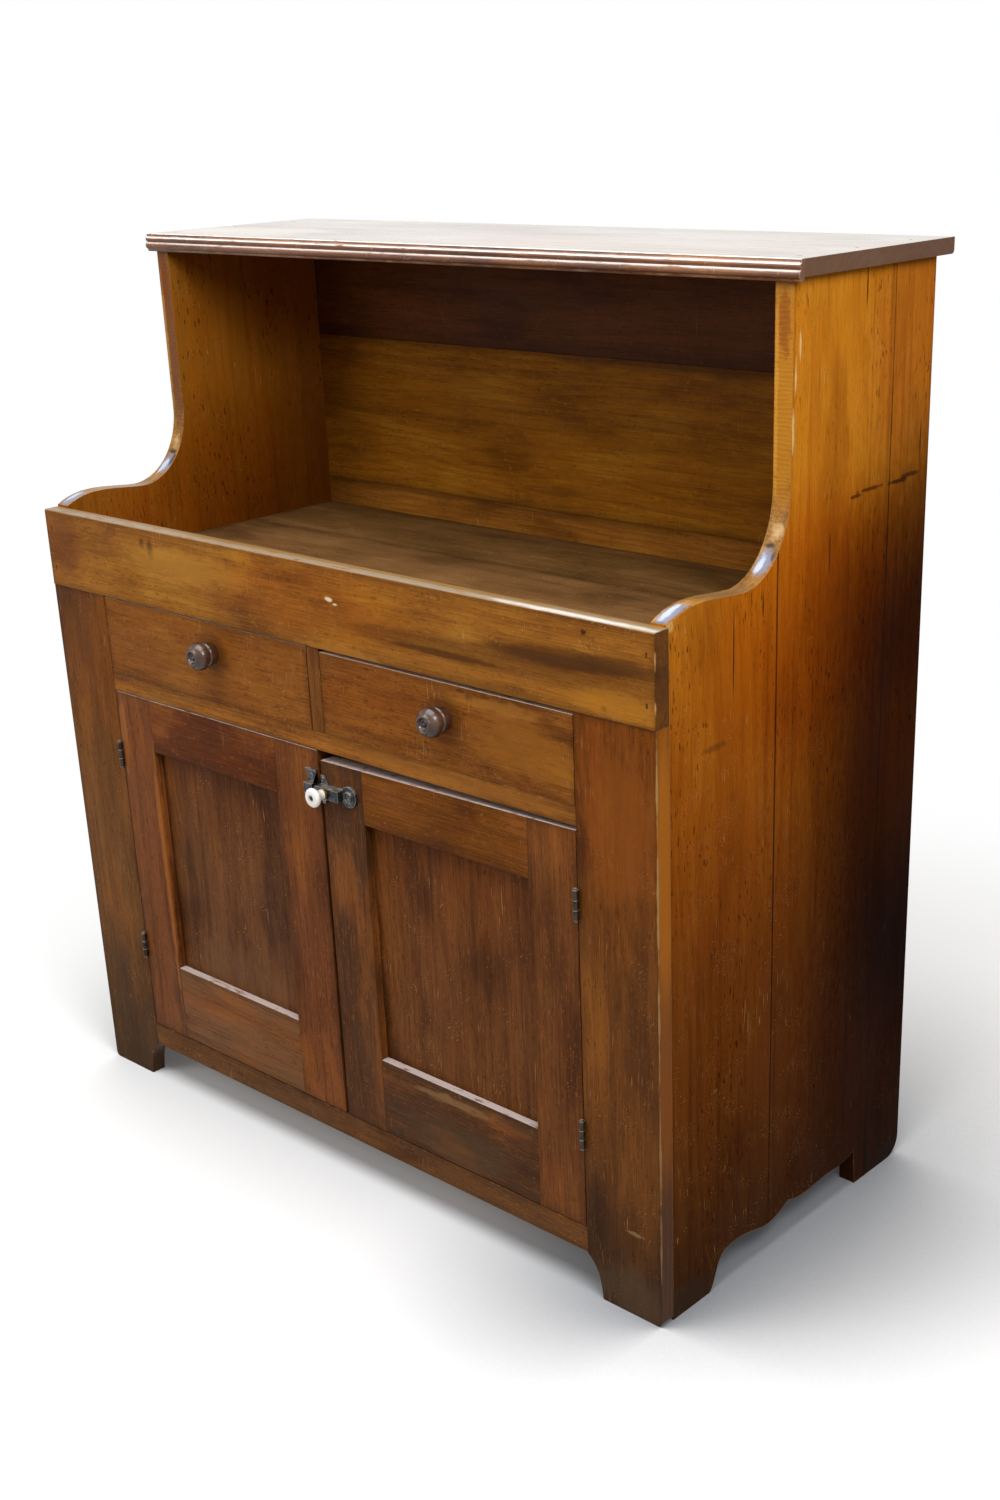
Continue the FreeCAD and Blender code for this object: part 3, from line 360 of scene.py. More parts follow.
    def arris(self, g: Graph, place: Value, low: Vector, high: Vector) -> bpy.types.NodeSocket:
        """Measure how far a point of a board's surface is from the board's nearest edge.

        Args:
            g: The tree to add to.
            place: The place in millimetres of the frame.
            low: The board's lowest corner in millimetres.
            high: The board's highest corner in millimetres.

        Returns:
            The distance in millimetres: the middle one of the distances to the three pairs of faces.
        """
        middle, half = (low + high) / 2, (high - low) / 2
        off = g.add(VECTOR, {0: place, 1: tuple(middle)}, operation="SUBTRACT")
        size = g.add(VECTOR, {0: off}, operation="ABSOLUTE")
        depth = g.add(VECTOR, {0: tuple(half), 1: size}, operation="SUBTRACT")
        a, b, c = g.add(SPLIT, {0: depth}).node.outputs
        small = g.add(MATH, {0: a, 1: b}, operation="MINIMUM")
        large = g.add(MATH, {0: a, 1: b}, operation="MAXIMUM")
        inner = g.add(MATH, {0: large, 1: c}, operation="MINIMUM")
        return g.add(MATH, {0: small, 1: inner}, operation="MAXIMUM")

    def patterns(self, g: Graph, place: Value, low: Vector, high: Vector) -> Sockets:
        """Make the noises, rings and distances that the finish is mixed from.

        Args:
            g: The tree to add to.
            place: The place in millimetres of the frame.
            low: The board's lowest corner in millimetres.
            high: The board's highest corner in millimetres.

        Returns:
            The patterns by name.
        """
        centred = g.add(VECTOR, {0: place, 1: tuple((low + high) / 2)}, operation="SUBTRACT")
        off = g.add(SPLIT, {0: centred}).node.outputs
        along, across, through = self.grain.value
        timber = g.add(JOIN, {0: off[along], 1: off[across], 2: off[through]})
        # A noise has its size along and across the grain, its own number and its octaves. Real fibres
        # are some 0.05 mm wide. They are drawn 1.6 mm wide so that they show.
        noises = {"clouds": (2.6 * self.blotch, self.blotch, 3, 4.0), "streaks": (650, 14, 4, 3.0),
                  "fibre": (60, 1.6, 5, 3.0), "pores": (15, 3.6, 6, 1.0), "patches": (240, 90, 7, 2.0),
                  "nicks": (22, 7, 8, 3.0), "waves": (70, 30, 9, 1.0), "speck": (9, 4, 10, 4.0)}
        made = {name: self.figure(g, timber, *sizes) for name, sizes in noises.items()}
        made["ring"] = self.rings(g, timber)
        made["edge"] = self.arris(g, place, low, high)
        made["upward"] = g.add(SPLIT, {0: g.add(GEOMETRY, out="Normal")}).node.outputs[2]
        return made

    def masks(self, g: Graph, place: Value, made: Sockets) -> Sockets:
        """Make the soft masks through which the finish's colours show.

        Args:
            g: The tree to add to.
            place: The place in millimetres of the frame.
            made: The patterns by name.

        Returns:
            The masks by name.
        """
        border = g.add(MATH, {0: made["patches"], 1: 1.2 * self.grime_and_shade_width, 2: made["edge"]},
                       operation="MULTIPLY_ADD")
        edge, ragged, start, end = made["edge"], 4.0 * self.wear, 2.0 * self.wear, 1.2 * self.wear
        if self.edge is Edge.CURVED:
            soft = g.add("ShaderNodeBevel", {"Radius": self.wear * MM}, samples=4)
            true = g.add(GEOMETRY, out="True Normal")
            edge = g.add(VECTOR, {0: soft, 1: true}, out=1, operation="DOT_PRODUCT")
            ragged, start, end = 0.5, 1.16, 1.05
        torn = g.add(MATH, {0: made["nicks"], 1: ragged, 2: edge}, operation="MULTIPLY_ADD")
        # Each mask grows softly from its first limit to its second, up to its strength.
        limits = {"light": (made["clouds"], 0.5, 0.32, self.bright_strength),
                  "streak": (made["streaks"], 0.5, 0.72, self.streak_strength),
                  "blotch": (made["clouds"], 0.5, 0.72, self.blotch_strength),
                  "fibre": (made["fibre"], 0.45, 0.75, self.fibre_strength),
                  "pale_fibre": (made["fibre"], 0.48, 0.25, 0.65 * self.fibre_strength),
                  "speck": (made["speck"], 0.55, 0.78, self.speck_strength),
                  "pale_speck": (made["speck"], 0.42, 0.22, self.speck_strength),
                  "pore": (made["pores"], 0.63, 0.71, self.fleck_strength),
                  "open_grain": (made["patches"], 0.4, 0.6, 1.0),
                  # The dark border along the board's edges is grime and painted shade where boards meet.
                  "grime": (border, 1.4 * self.grime_and_shade_width, 0.4 * self.grime_and_shade_width, self.grime_and_shade_strength),
                  "rubbed": (torn, start, end, self.wear_strength)}
        if self.ledge_strength:
            # Faces that look up take dust and a painted highlight, broken into patches.
            limits["level"] = (made["upward"], 0.35, 0.9, self.ledge_strength)
            limits["dusty"] = (made["nicks"], 0.22, 0.46, 1.0)
        if self.flank_sheen is not None:
            limits["facing"] = (made["upward"], 0.5, 0.95, 1.0)
        masks = {name: g.add(RANGE, {0: value, 1: first, 2: second, 4: strength}, interpolation_type=SOFT)
                 for name, (value, first, second, strength) in limits.items()}
        masks["late"] = g.add(MATH, {0: made["ring"], 1: self.ring_strength}, operation="MULTIPLY")
        masks["dense"] = g.add(MATH, {0: masks["pore"], 1: masks["open_grain"]}, operation="MULTIPLY")
        masks["scratched"] = self.scratches(g, place)
        if self.ledge_strength:
            masks["lying"] = g.add(MATH, {0: masks["level"], 1: masks["dusty"]}, operation="MULTIPLY")
        return masks

    def layers(self, g: Graph, place: Value, made: Sockets, masks: Sockets) -> list[tuple[Value, str, Lay]]:
        """List the colours that lie on the base, from the first to the last.

        Args:
            g: The tree to add to.
            place: The place in millimetres of the frame.
            made: The patterns by name.
            masks: The masks by name.

        Returns:
            Each layer's mask, its colour and the way it lies.
        """
        timber = [("light", self.bright), ("late", self.late), ("streak", self.deep), ("blotch", self.deep),
                  ("fibre", self.deep), ("pale_fibre", self.bright), ("speck", self.deep),
                  ("pale_speck", self.bright), ("dense", PORE)]
        # The grime layer paints the dark border: grime, and shade along the board's edges.
        use = [("grime", GRIME_AND_SHADE), ("rubbed", self.worn), ("scratched", self.worn)]
        if self.ledge_strength:
            use.append(("lying", self.ledge))
        clouds, nicks = made["clouds"], made["nicks"]
        stack = [(masks[name], code, Lay.COVER) for name, code in timber]
        stack += [(self.fade_mask(g, place, clouds, fade), fade.colour, Lay.TINT) for fade in self.fades]
        stack += [(masks[name], code, Lay.COVER) for name, code in use]
        return stack + [(self.spot_mask(g, place, clouds, nicks, spot), spot.colour, spot.lay)
                        for spot in self.spots]

    def material(self, low: Vector, high: Vector) -> bpy.types.Material:
        """Make the material for one board.

        Args:
            low: The board's lowest corner in metres.
            high: The board's highest corner in metres.

        Returns:
            The board's own material.
        """
        g = Graph(bpy.data.materials.new(self.name))
        place = g.add(VECTOR, {0: g.add(COORDINATES, out="Object"), 1: (1 / MM,) * 3}, operation="MULTIPLY")
        made = self.patterns(g, place, low / MM, high / MM)
        masks = self.masks(g, place, made)
        colour: Value = linear(self.base)
        for mask, code, lay in self.layers(g, place, made, masks):
            colour = g.add(MIX, {0: mask, MIX_A: colour, MIX_B: linear(code)}, out=MIX_OUT,
                           data_type="RGBA", blend_type=lay.value)

        relief = made["ring"]
        for pattern, depth in ((made["fibre"], -0.35), (masks["dense"], -2.0), (made["waves"], 3.0),
                               (masks["scratched"], -1.5)):
            relief = g.add(MATH, {0: pattern, 1: depth, 2: relief}, operation="MULTIPLY_ADD")
        bump = g.add("ShaderNodeBump", {"Strength": self.relief, "Distance": 0.35 * MM, "Height": relief})
        dull = g.add(RANGE, {0: made["patches"], 1: 0.3, 2: 0.7, 3: self.roughness - 0.09,
                             4: self.roughness + 0.12})
        dull = g.add(MATH, {0: masks["rubbed"], 1: 0.2, 2: dull}, operation="MULTIPLY_ADD")
        sheen: Value = self.sheen_level
        coat: Value = self.coat
        if self.flank_sheen is not None:
            sheen = g.add(RANGE, {0: masks["facing"], 3: self.flank_sheen, 4: self.sheen_level})
            coat = g.add(MATH, {0: masks["facing"], 1: self.coat}, operation="MULTIPLY")
        return g.finish(Base_Color=colour, Roughness=dull, Normal=bump,
                        Specular_IOR_Level=sheen, Coat_Weight=coat, Coat_Roughness=0.22)

    def scratches(self, g: Graph, place: Value) -> bpy.types.NodeSocket:
        """Make thin pale scratches that lie at three slants to the grain.

        Args:
            g: The tree to add to.
            place: The place in millimetres of the frame.

        Returns:
            The mask of the scratches.
        """
        masks = []
        for turn, seed in ((0.5, 11.0), (-0.9, 12.0), (1.7, 13.0)):
            turned = g.add(TURN, {"Vector": place, "Rotation": (turn, turn, turn)}, rotation_type="EULER_XYZ")
            # Real scratches are a few tenths of a millimetre wide. They are drawn 1.2 mm wide to show.
            line = self.figure(g, turned, 26, 1.2, seed, 0.0)
            where = self.figure(g, turned, 50, 40, seed + 4, 1.0)
            thin = g.add(RANGE, {0: line, 1: 0.72, 2: 0.8, 4: self.scratch_strength})
            some = g.add(RANGE, {0: where, 1: 0.54, 2: 0.66})
            masks.append(g.add(MATH, {0: thin, 1: some}, operation="MULTIPLY"))
        scratched = masks[0]
        for mask in masks[1:]:
            scratched = g.add(MATH, {0: scratched, 1: mask}, operation="MAXIMUM")
        return scratched

    def fade_mask(self, g: Graph, place: Value, clouds: Value, fade: Fade) -> bpy.types.NodeSocket:
        """Make the mask of a slow change.

        Args:
            g: The tree to add to.
            place: The place in millimetres of the frame.
            clouds: Coarse noise that makes the change uneven.
            fade: The change.

        Returns:
            The mask, from 0 at the change's start to its strength at its end.
        """
        start, end = at(fade.start) / MM, at(fade.end) / MM
        run = end - start
        off = g.add(VECTOR, {0: place, 1: tuple(start)}, operation="SUBTRACT")
        part = g.add(VECTOR, {0: off, 1: tuple(run / run.length_squared)}, out=1, operation="DOT_PRODUCT")
        wavy = g.add(MATH, {0: clouds, 1: 0.3, 2: part}, operation="MULTIPLY_ADD")
        return g.add(RANGE, {0: wavy, 1: 0.15, 2: 1.15, 4: fade.strength}, interpolation_type=SOFT)

    def spot_mask(self, g: Graph, place: Value, clouds: Value, nicks: Value,
                  spot: Spot) -> bpy.types.NodeSocket:
        """Make the mask of one local mark.

        Args:
            g: The tree to add to.
            place: The place in millimetres of the frame.
            clouds: Coarse noise that bends the mark's outline.
            nicks: Fine noise that breaks the mark's outline.
            spot: The mark.

        Returns:
            The mask, soft at its rim.
        """
        centre = at(spot.centre) / MM
        off = g.add(VECTOR, {0: place, 1: tuple(centre)}, operation="SUBTRACT")
        scaled = g.add(VECTOR, {0: off, 1: tuple(1 / r for r in spot.reach)}, operation="MULTIPLY")
        radius = g.add(VECTOR, {0: scaled}, out=1, operation="LENGTH")
        bent = g.add(MATH, {0: clouds, 1: spot.ragged, 2: radius}, operation="MULTIPLY_ADD")
        torn = g.add(MATH, {0: nicks, 1: spot.ragged, 2: bent}, operation="MULTIPLY_ADD")
        return g.add(RANGE, {0: torn, 1: 1.1 + spot.ragged, 2: 0.45 + spot.ragged, 4: spot.strength},
                     interpolation_type=SOFT)


@dataclass(frozen=True)
class Iron:
    """Cast or wrought iron, blackened by age, rubbed bright on its arrises and with a painted highlight on
    faces that look up.

    The dark oxide gives a blue-grey metal with a broken, soft shine and a few brown rust spots.

    Attributes:
        name: The material's name.
        base: Colour of the oxide.
        rust: Colour of the rust.
        bright: Colour of rubbed metal, and of the highlight painted on faces that look up.
        roughness: Roughness of the rubbed metal.
        grit: Size of the sand-cast texture.
        rust_patch: Size of the rust spots.
        rubbed: Width of the rubbed arrises.
    """

    name: str = "cast_iron_blackened"
    base: str = "#4f5256"
    rust: str = "#33241b"
    bright: str = "#c6c2b8"
    roughness: float = 0.33
    grit: float = 1.6
    rust_patch: float = 9.0
    rubbed: float = 0.9

    def material(self) -> bpy.types.Material:
        """Make the material.

        Returns:
            The iron.
        """
        g = Graph(bpy.data.materials.new(self.name))
        place = g.add(COORDINATES, out="Object")
        cast = g.add(NOISE, {"Vector": place, "Scale": 1 / (self.grit * MM), "Detail": 3.0})
        patch = g.add(NOISE, {"Vector": place, "Scale": 1 / (self.rust_patch * MM), "Detail": 4.0})
        upward = g.add(SPLIT, {0: g.add(GEOMETRY, out="Normal")}).node.outputs[2]
        # Faces that look up take the bright colour as a painted highlight.
        dusty = g.add(RANGE, {0: upward, 1: 0.3, 2: 0.8, 4: 0.6}, interpolation_type=SOFT)
        rusty = g.add(RANGE, {0: patch, 1: 0.48, 2: 0.66, 4: 0.8}, interpolation_type=SOFT)
        colour = g.add(MIX, {0: rusty, MIX_A: linear(self.base), MIX_B: linear(self.rust)}, out=MIX_OUT,
                       data_type="RGBA")
        soft = g.add("ShaderNodeBevel", {"Radius": self.rubbed * MM}, samples=4)
        turned = g.add(VECTOR, {0: soft, 1: g.add(GEOMETRY, out="True Normal")}, out=1,
                       operation="DOT_PRODUCT")
        rubbed = g.add(RANGE, {0: turned, 1: 0.98, 2: 0.89, 4: 0.85}, interpolation_type=SOFT)
        # The rubbed arrises and the painted highlight share the bright colour.
        rubbed = g.add(MATH, {0: rubbed, 1: dusty}, operation="MAXIMUM")
        colour = g.add(MIX, {0: rubbed, MIX_A: colour, MIX_B: linear(self.bright)}, out=MIX_OUT,
                       data_type="RGBA")
        rough = g.add(RANGE, {0: patch, 1: 0.35, 2: 0.65, 3: self.roughness, 4: self.roughness + 0.25})
        bump = g.add("ShaderNodeBump", {"Strength": 0.4, "Distance": 0.25 * MM, "Height": cast})
        return g.finish(Base_Color=colour, Metallic=1.0, Roughness=rough, Normal=bump)


@dataclass(frozen=True)
class Brass:
    """Turned brass, long unpolished, which gives a brownish gold with dull patches.

    Attributes:
        name: The material's name.
        base: Colour of the metal.
        tarnish: Colour of the dull patches.
        roughness: Roughness of the metal between them.
        patch: Size of the dull patches.
    """

    name: str = "brass_turned_tarnished"
    base: str = "#9a7a45"
    tarnish: str = "#4a371f"
    roughness: float = 0.35
    patch: float = 4.0

    def material(self) -> bpy.types.Material:
        """Make the material.

        Returns:
            The brass.
        """
        g = Graph(bpy.data.materials.new(self.name))
        place = g.add(COORDINATES, out="Object")
        patch = g.add(NOISE, {"Vector": place, "Scale": 1 / (self.patch * MM), "Detail": 4.0})
        dull = g.add(RANGE, {0: patch, 1: 0.4, 2: 0.62})
        colour = g.add(MIX, {0: dull, MIX_A: linear(self.base), MIX_B: linear(self.tarnish)}, out=MIX_OUT,
                       data_type="RGBA")
        rough = g.add(MATH, {0: dull, 1: 0.3, 2: self.roughness}, operation="MULTIPLY_ADD")
        return g.finish(Base_Color=colour, Metallic=1.0, Roughness=rough)


@dataclass(frozen=True)
class Porcelain:
    """White glazed porcelain, which gives a milky body under a hard clear shine.

    Attributes:
        name: The material's name.
        base: Colour of the body.
        stain: Colour of the old grime by the pin and the collar.
        centre: The middle of the knob's face on the cabinet.
        grime_radius: Radius of the stained ring round the pin.
        patch: Size of the worn patches in its shine.
    """

    name: str = "porcelain_glazed"
    base: str = "#e9e8e3"
    stain: str = "#8d8677"
    centre: Place = (18.5, -35.8, 578.0)
    grime_radius: float = 4.2
    patch: float = 6.0

    def material(self) -> bpy.types.Material:
        """Make the material.

        Returns:
            The porcelain.
        """
        g = Graph(bpy.data.materials.new(self.name))
        place = g.add(COORDINATES, out="Object")
        patch = g.add(NOISE, {"Vector": place, "Scale": 1 / (self.patch * MM), "Detail": 5.0})
        off = g.add(VECTOR, {0: place, 1: tuple(at(self.centre))}, operation="SUBTRACT")
        flat = g.add(VECTOR, {0: off, 1: (1 / MM, 0.4 / MM, 1 / MM)}, operation="MULTIPLY")
        radius = g.add(VECTOR, {0: flat}, out=1, operation="LENGTH")
        ring = g.add(RANGE, {0: radius, 1: 1.5 * self.grime_radius, 2: 0.8 * self.grime_radius, 4: 0.75},
                     interpolation_type=SOFT)
        worn = g.add(RANGE, {0: patch, 1: 0.5, 2: 0.8, 4: 0.25})
        grime = g.add(MATH, {0: ring, 1: worn}, operation="MAXIMUM")
        colour = g.add(MIX, {0: grime, MIX_A: linear(self.base), MIX_B: linear(self.stain)}, out=MIX_OUT,
                       data_type="RGBA")
        rough = g.add(RANGE, {0: patch, 1: 0.4, 2: 0.75, 3: 0.1, 4: 0.28})
        return g.finish(Base_Color=colour, Roughness=rough, IOR=1.52, Coat_Weight=0.4, Coat_Roughness=0.06)


AMBER_SIDE = Wood(
    name="poplar_board_amber_shellac", base="#c3791b", late="#a3590e", deep="#74390a", bright="#d48f26",
    grain=Grain.UPRIGHT_SIDE, pith=(40.0, 190.0), lean=0.03, ring=16.0, ring_strength=0.3,
    streak_strength=0.4, blotch=80.0, blotch_strength=0.35, bright_strength=0.4, fleck_strength=0.7,
    fibre_strength=0.3, speck_strength=0.25, scratch_strength=0.4, worn="#d8a868", wear=1.6,
    wear_strength=0.5,
    edge=Edge.CURVED, grime_and_shade_strength=0.3, grime_and_shade_width=10.0, sheen_level=0.006)
GOLDEN_SPLASH = Wood(
    name="cherry_board_golden_shellac", base="#8f5a1e", late="#70400f", deep="#52290c", bright="#aa7629",
    grain=Grain.ACROSS_FRONT, pith=(-30.0, 120.0), lean=0.015, ring=11.0, ring_strength=0.28,
    streak_strength=0.35, blotch=50.0, worn="#b98a58", wear_strength=0.3, ledge="#887b69",
    ledge_strength=0.9)
# The frame's first fade is painted shade, darker towards the floor; the second tints the stiles warmer from
# 420 mm up.
FRAME = Wood(
    name="cherry_frame_brown_shellac", base="#70431d", late="#552f12", deep="#3f220d", bright="#875424",
    grain=Grain.UPRIGHT, ring=8.0, ring_strength=0.25, streak_strength=0.4, worn="#a97a48",
    wear_strength=0.45, fades=(Fade((0, 0, 330.0), (0, 0, 0.0), "#969ea4", 0.9),
                               Fade((0, 0, 420.0), (0, 0, 700.0), "#f5dea6", 1.0)))
DRAWER = Wood(
    name="cherry_drawer_brown_shellac", base="#824c19", late="#683810", deep="#4a260b", bright="#9a6322",
    grain=Grain.ACROSS_FRONT, ring=10.0, ring_strength=0.25, worn="#b58a60", wear=1.8,
    wear_strength=0.4, ledge="#d2b8a6", ledge_strength=0.85)
DOOR = Wood(
    name="cherry_door_red_shellac", base="#74401a", late="#582c10", deep="#3a1b09", bright="#905424",
    grain=Grain.UPRIGHT, ring=8.0, ring_strength=0.25, worn="#96633a", wear=1.6, wear_strength=0.35,
    ledge="#b4a49e", ledge_strength=0.9)
# The panel's fade is painted shade over its upper part, and its wide dark border is painted shade along the
# frame as well as grime.
PANEL = Wood(
    name="walnut_panel_dark_shellac", base="#64391a", late="#4b2810", deep="#331909", bright="#7c4c24",
    grain=Grain.UPRIGHT, pith=(0.0, 90.0), ring=10.0, ring_strength=0.3, streak_strength=0.45,
    grime_and_shade_width=26.0, grime_and_shade_strength=0.6, wear_strength=0.0, scratch_strength=0.4,
    fades=(Fade((0, 0, 370.0), (0, 0, 560.0), "#f5e4cc", 1.0),))
TOP = Wood(
    name="cherry_top_polished_worn", base="#8e7e6c", late="#6e523b", deep="#553b27", bright="#b8a998",
    grain=Grain.FLAT, pith=(60.0, 90.0), ring=13.0, ring_strength=0.35, streak_strength=0.4,
    blotch=120.0, worn="#8c6a4e", wear_strength=0.4, grime_and_shade_strength=0.2, scratch_strength=0.3,
    roughness=0.3, sheen_level=0.5, flank_sheen=0.04, coat=1.0)
DARK_BACK = Wood(
    name="pine_back_dark_shellac", base="#5c3318", late="#482611", deep="#351a0b", bright="#6b3e1d",
    grain=Grain.ACROSS_FRONT, ring=14.0, wear_strength=0.0, grime_and_shade_width=30.0, grime_and_shade_strength=0.5,
    scratch_strength=0.12)
OLIVE_BACK = Wood(
    name="poplar_back_olive_shellac", base="#87530f", late="#6a3e0a", deep="#522d08", bright="#9a681a",
    grain=Grain.ACROSS_FRONT, pith=(10.0, 60.0), ring=12.0, ring_strength=0.4, wear_strength=0.0,
    grime_and_shade_width=20.0, grime_and_shade_strength=0.5, scratch_strength=0.2)
SINK_FLOOR = Wood(
    name="pine_sink_floor_worn", base="#6c4b2b", late="#553a1e", deep="#3e2a13", bright="#805e38",
    grain=Grain.FLAT, ring=12.0, ring_strength=0.35, wear_strength=0.2, grime_and_shade_width=16.0,
    grime_and_shade_strength=0.45, roughness=0.5, sheen_level=0.06)
BARE_PINE = Wood(
    name="pine_sawn_bare", base="#b58d5c", late="#96693a", deep="#7a5230", bright="#c6a272",
    grain=Grain.FRONT_TO_BACK, ring=7.0, ring_strength=0.45, worn="#c9a678", wear_strength=0.4,
    grime_and_shade_strength=0.25, scratch_strength=0.15, roughness=0.62)
RUBBED_EDGE = Wood(
    name="poplar_edge_rubbed_brown", base="#8a6130", late="#6e4a1e", deep="#4a3016", bright="#b08646",
    grain=Grain.FRONT_TO_BACK, ring=5.0, ring_strength=0.4, blotch=22.0, worn="#c09a68", wear=1.0,
    wear_strength=0.4, edge=Edge.CURVED, grime_and_shade_strength=0.0, roughness=0.3, sheen_level=0.07)
KNOB_WOOD = Wood(
    name="maple_turned_dark_shellac", base="#452a1a", late="#32200f", deep="#1d0f07", bright="#604232",
    grain=Grain.FRONT_TO_BACK, pith=(4.0, 30.0), ring=3.0, ring_strength=0.3, blotch=14.0,
    fibre_strength=0.25, speck_strength=0.25, worn="#8c7060", wear=0.6, wear_strength=0.3,
    edge=Edge.CURVED, grime_and_shade_strength=0.0, scratch_strength=0.3, roughness=0.26, relief=0.1,
    sheen_level=0.55)


def put(piece: bpy.types.Object, material: bpy.types.Material) -> None:
    """Give a piece one material.

    Args:
        piece: The piece.
        material: Its material.
    """
    if not piece.material_slots:
        piece.data.materials.append(material)
    for holder in piece.material_slots:
        holder.material = material


def dress(node: str, finish: Wood, radius: float = 1.2) -> None:
    """Give a CAD board its wood and soften its arrises.

    Args:
        node: The CAD node.
        finish: The wood.
        radius: How far the arrises are rounded, or 0 to leave them.
    """
    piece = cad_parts[node]
    put(piece, finish.material(*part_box(node)))
    soften(piece, radius)
    LOG.info("dressed %s", node)


def soften(piece: bpy.types.Object, radius: float, weighted: bool = False) -> None:
    """Round a piece's arrises without touching its mesh.

    Args:
        piece: The piece.
        radius: How far its arrises are rounded.
        weighted: Whether only the edges that carry a bevel weight are rounded.
    """
    if not radius:
        return
    weld = piece.modifiers.new("weld", "WELD")
    weld.merge_threshold = 0.01 * MM
    flat = piece.modifiers.new("flat_faces", "DECIMATE")
    flat.decimate_type = "DISSOLVE"
    flat.angle_limit = FLAT
    bevel = piece.modifiers.new("rubbed_arris", "BEVEL")
    bevel.width = radius * MM
    bevel.segments = 3
    bevel.limit_method = "WEIGHT" if weighted else "ANGLE"
    bevel.angle_limit = SHARP
    normals = piece.modifiers.new("even_shading", "WEIGHTED_NORMAL")
    normals.weight = 80


def make(name: str, shell: bmesh.types.BMesh, body: str) -> bpy.types.Object:
    """Turn a built shell into a piece that rides on a body.

    Args:
        name: The piece's name.
        shell: Its mesh in metres of the frame, which is used up.
        body: The CAD body that carries it.

    Returns:
        The piece.
    """
    bmesh.ops.recalc_face_normals(shell, faces=shell.faces)
    mesh = bpy.data.meshes.new(name)
    shell.to_mesh(mesh)
    shell.free()
    piece = bpy.data.objects.new(name, mesh)
    bpy.context.scene.collection.objects.link(piece)
    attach(piece, body)
    LOG.info("built %s", name)
    return piece


def skin(shell: bmesh.types.BMesh, outlines: Sequence[Sequence[Place]], smooth: bool = False) -> None:
    """Skin a stack of outlines that have equal counts of points, and close its two ends.

    Args:
        shell: The mesh to add to.
        outlines: The outlines in order.
        smooth: Whether the faces between them are shaded smooth.
    """
    rows = [[shell.verts.new(point) for point in outline] for outline in outlines]
    for lower, upper in zip(rows, rows[1:]):
        for i in range(len(lower)):
            j = (i + 1) % len(lower)
            shell.faces.new((lower[i], lower[j], upper[j], upper[i])).smooth = smooth
    for end in (rows[0], rows[-1]):
        shell.faces.new(end)


def crease(shell: bmesh.types.BMesh, degrees: float) -> None:
    """Keep the shading of a smooth mesh crisp where its faces meet at a steep angle.

    Args:
        shell: The mesh.
        degrees: The angle over which an edge is crisp.
    """
    for edge in shell.edges:
        if len(edge.link_faces) == 2 and edge.calc_face_angle() > math.radians(degrees):
            edge.smooth = False


def arc_points(centre: tuple[float, float], radius: float, start: float, end: float,
               steps: int) -> list[tuple[float, float]]:
    """List points of an arc in a profile's plane.

    Args:
        centre: The arc's centre as (radius, reach).
        radius: The arc's radius.
        start: The first angle in degrees, from the profile's outward direction.
        end: The last angle in degrees.
        steps: Number of steps between them.

    Returns:
        The points from start to end.
    """
    angles = [math.radians(start + (end - start) * i / steps) for i in range(steps + 1)]
    return [(centre[0] + radius * math.cos(a), centre[1] + radius * math.sin(a)) for a in angles]


def turn_on_lathe(name: str, profile: Sequence[tuple[float, float]], centre: Place, body: str,
                  around: int = 72) -> bpy.types.Object:
    """Turn a closed solid about a line that runs out of the cabinet's front.

    Args:
        name: The piece's name.
        profile: (radius, reach) points from the back to the front, both ends on the axis.
        centre: The place on the cabinet of the profile's zero.
        body: The CAD body that carries the piece.
        around: Number of faces round the axis.

    Returns:
        The piece, smooth where its profile is smooth.
    """
    shell = bmesh.new()
    origin = at(centre)
    rows = []
    for radius, reach in profile:
        spokes = around if radius > 0 else 1
        ring = []
        for i in range(spokes):
            angle = 2 * math.pi * i / around
            offset = Vector((radius * math.cos(angle), -reach, radius * math.sin(angle)))
            ring.append(shell.verts.new(origin + offset * MM))
        rows.append(ring)
    for lower, upper in zip(rows, rows[1:]):
        for i in range(around):
            j = (i + 1) % around
            corners = [lower[i % len(lower)], lower[j % len(lower)], upper[j % len(upper)],
                       upper[i % len(upper)]]
            corners = list(dict.fromkeys(corners))
            if len(corners) > 2:
                shell.faces.new(corners)
    for face in shell.faces:
        face.smooth = True
    bmesh.ops.recalc_face_normals(shell, faces=shell.faces)
    crease(shell, 40)
    return make(name, shell, body)


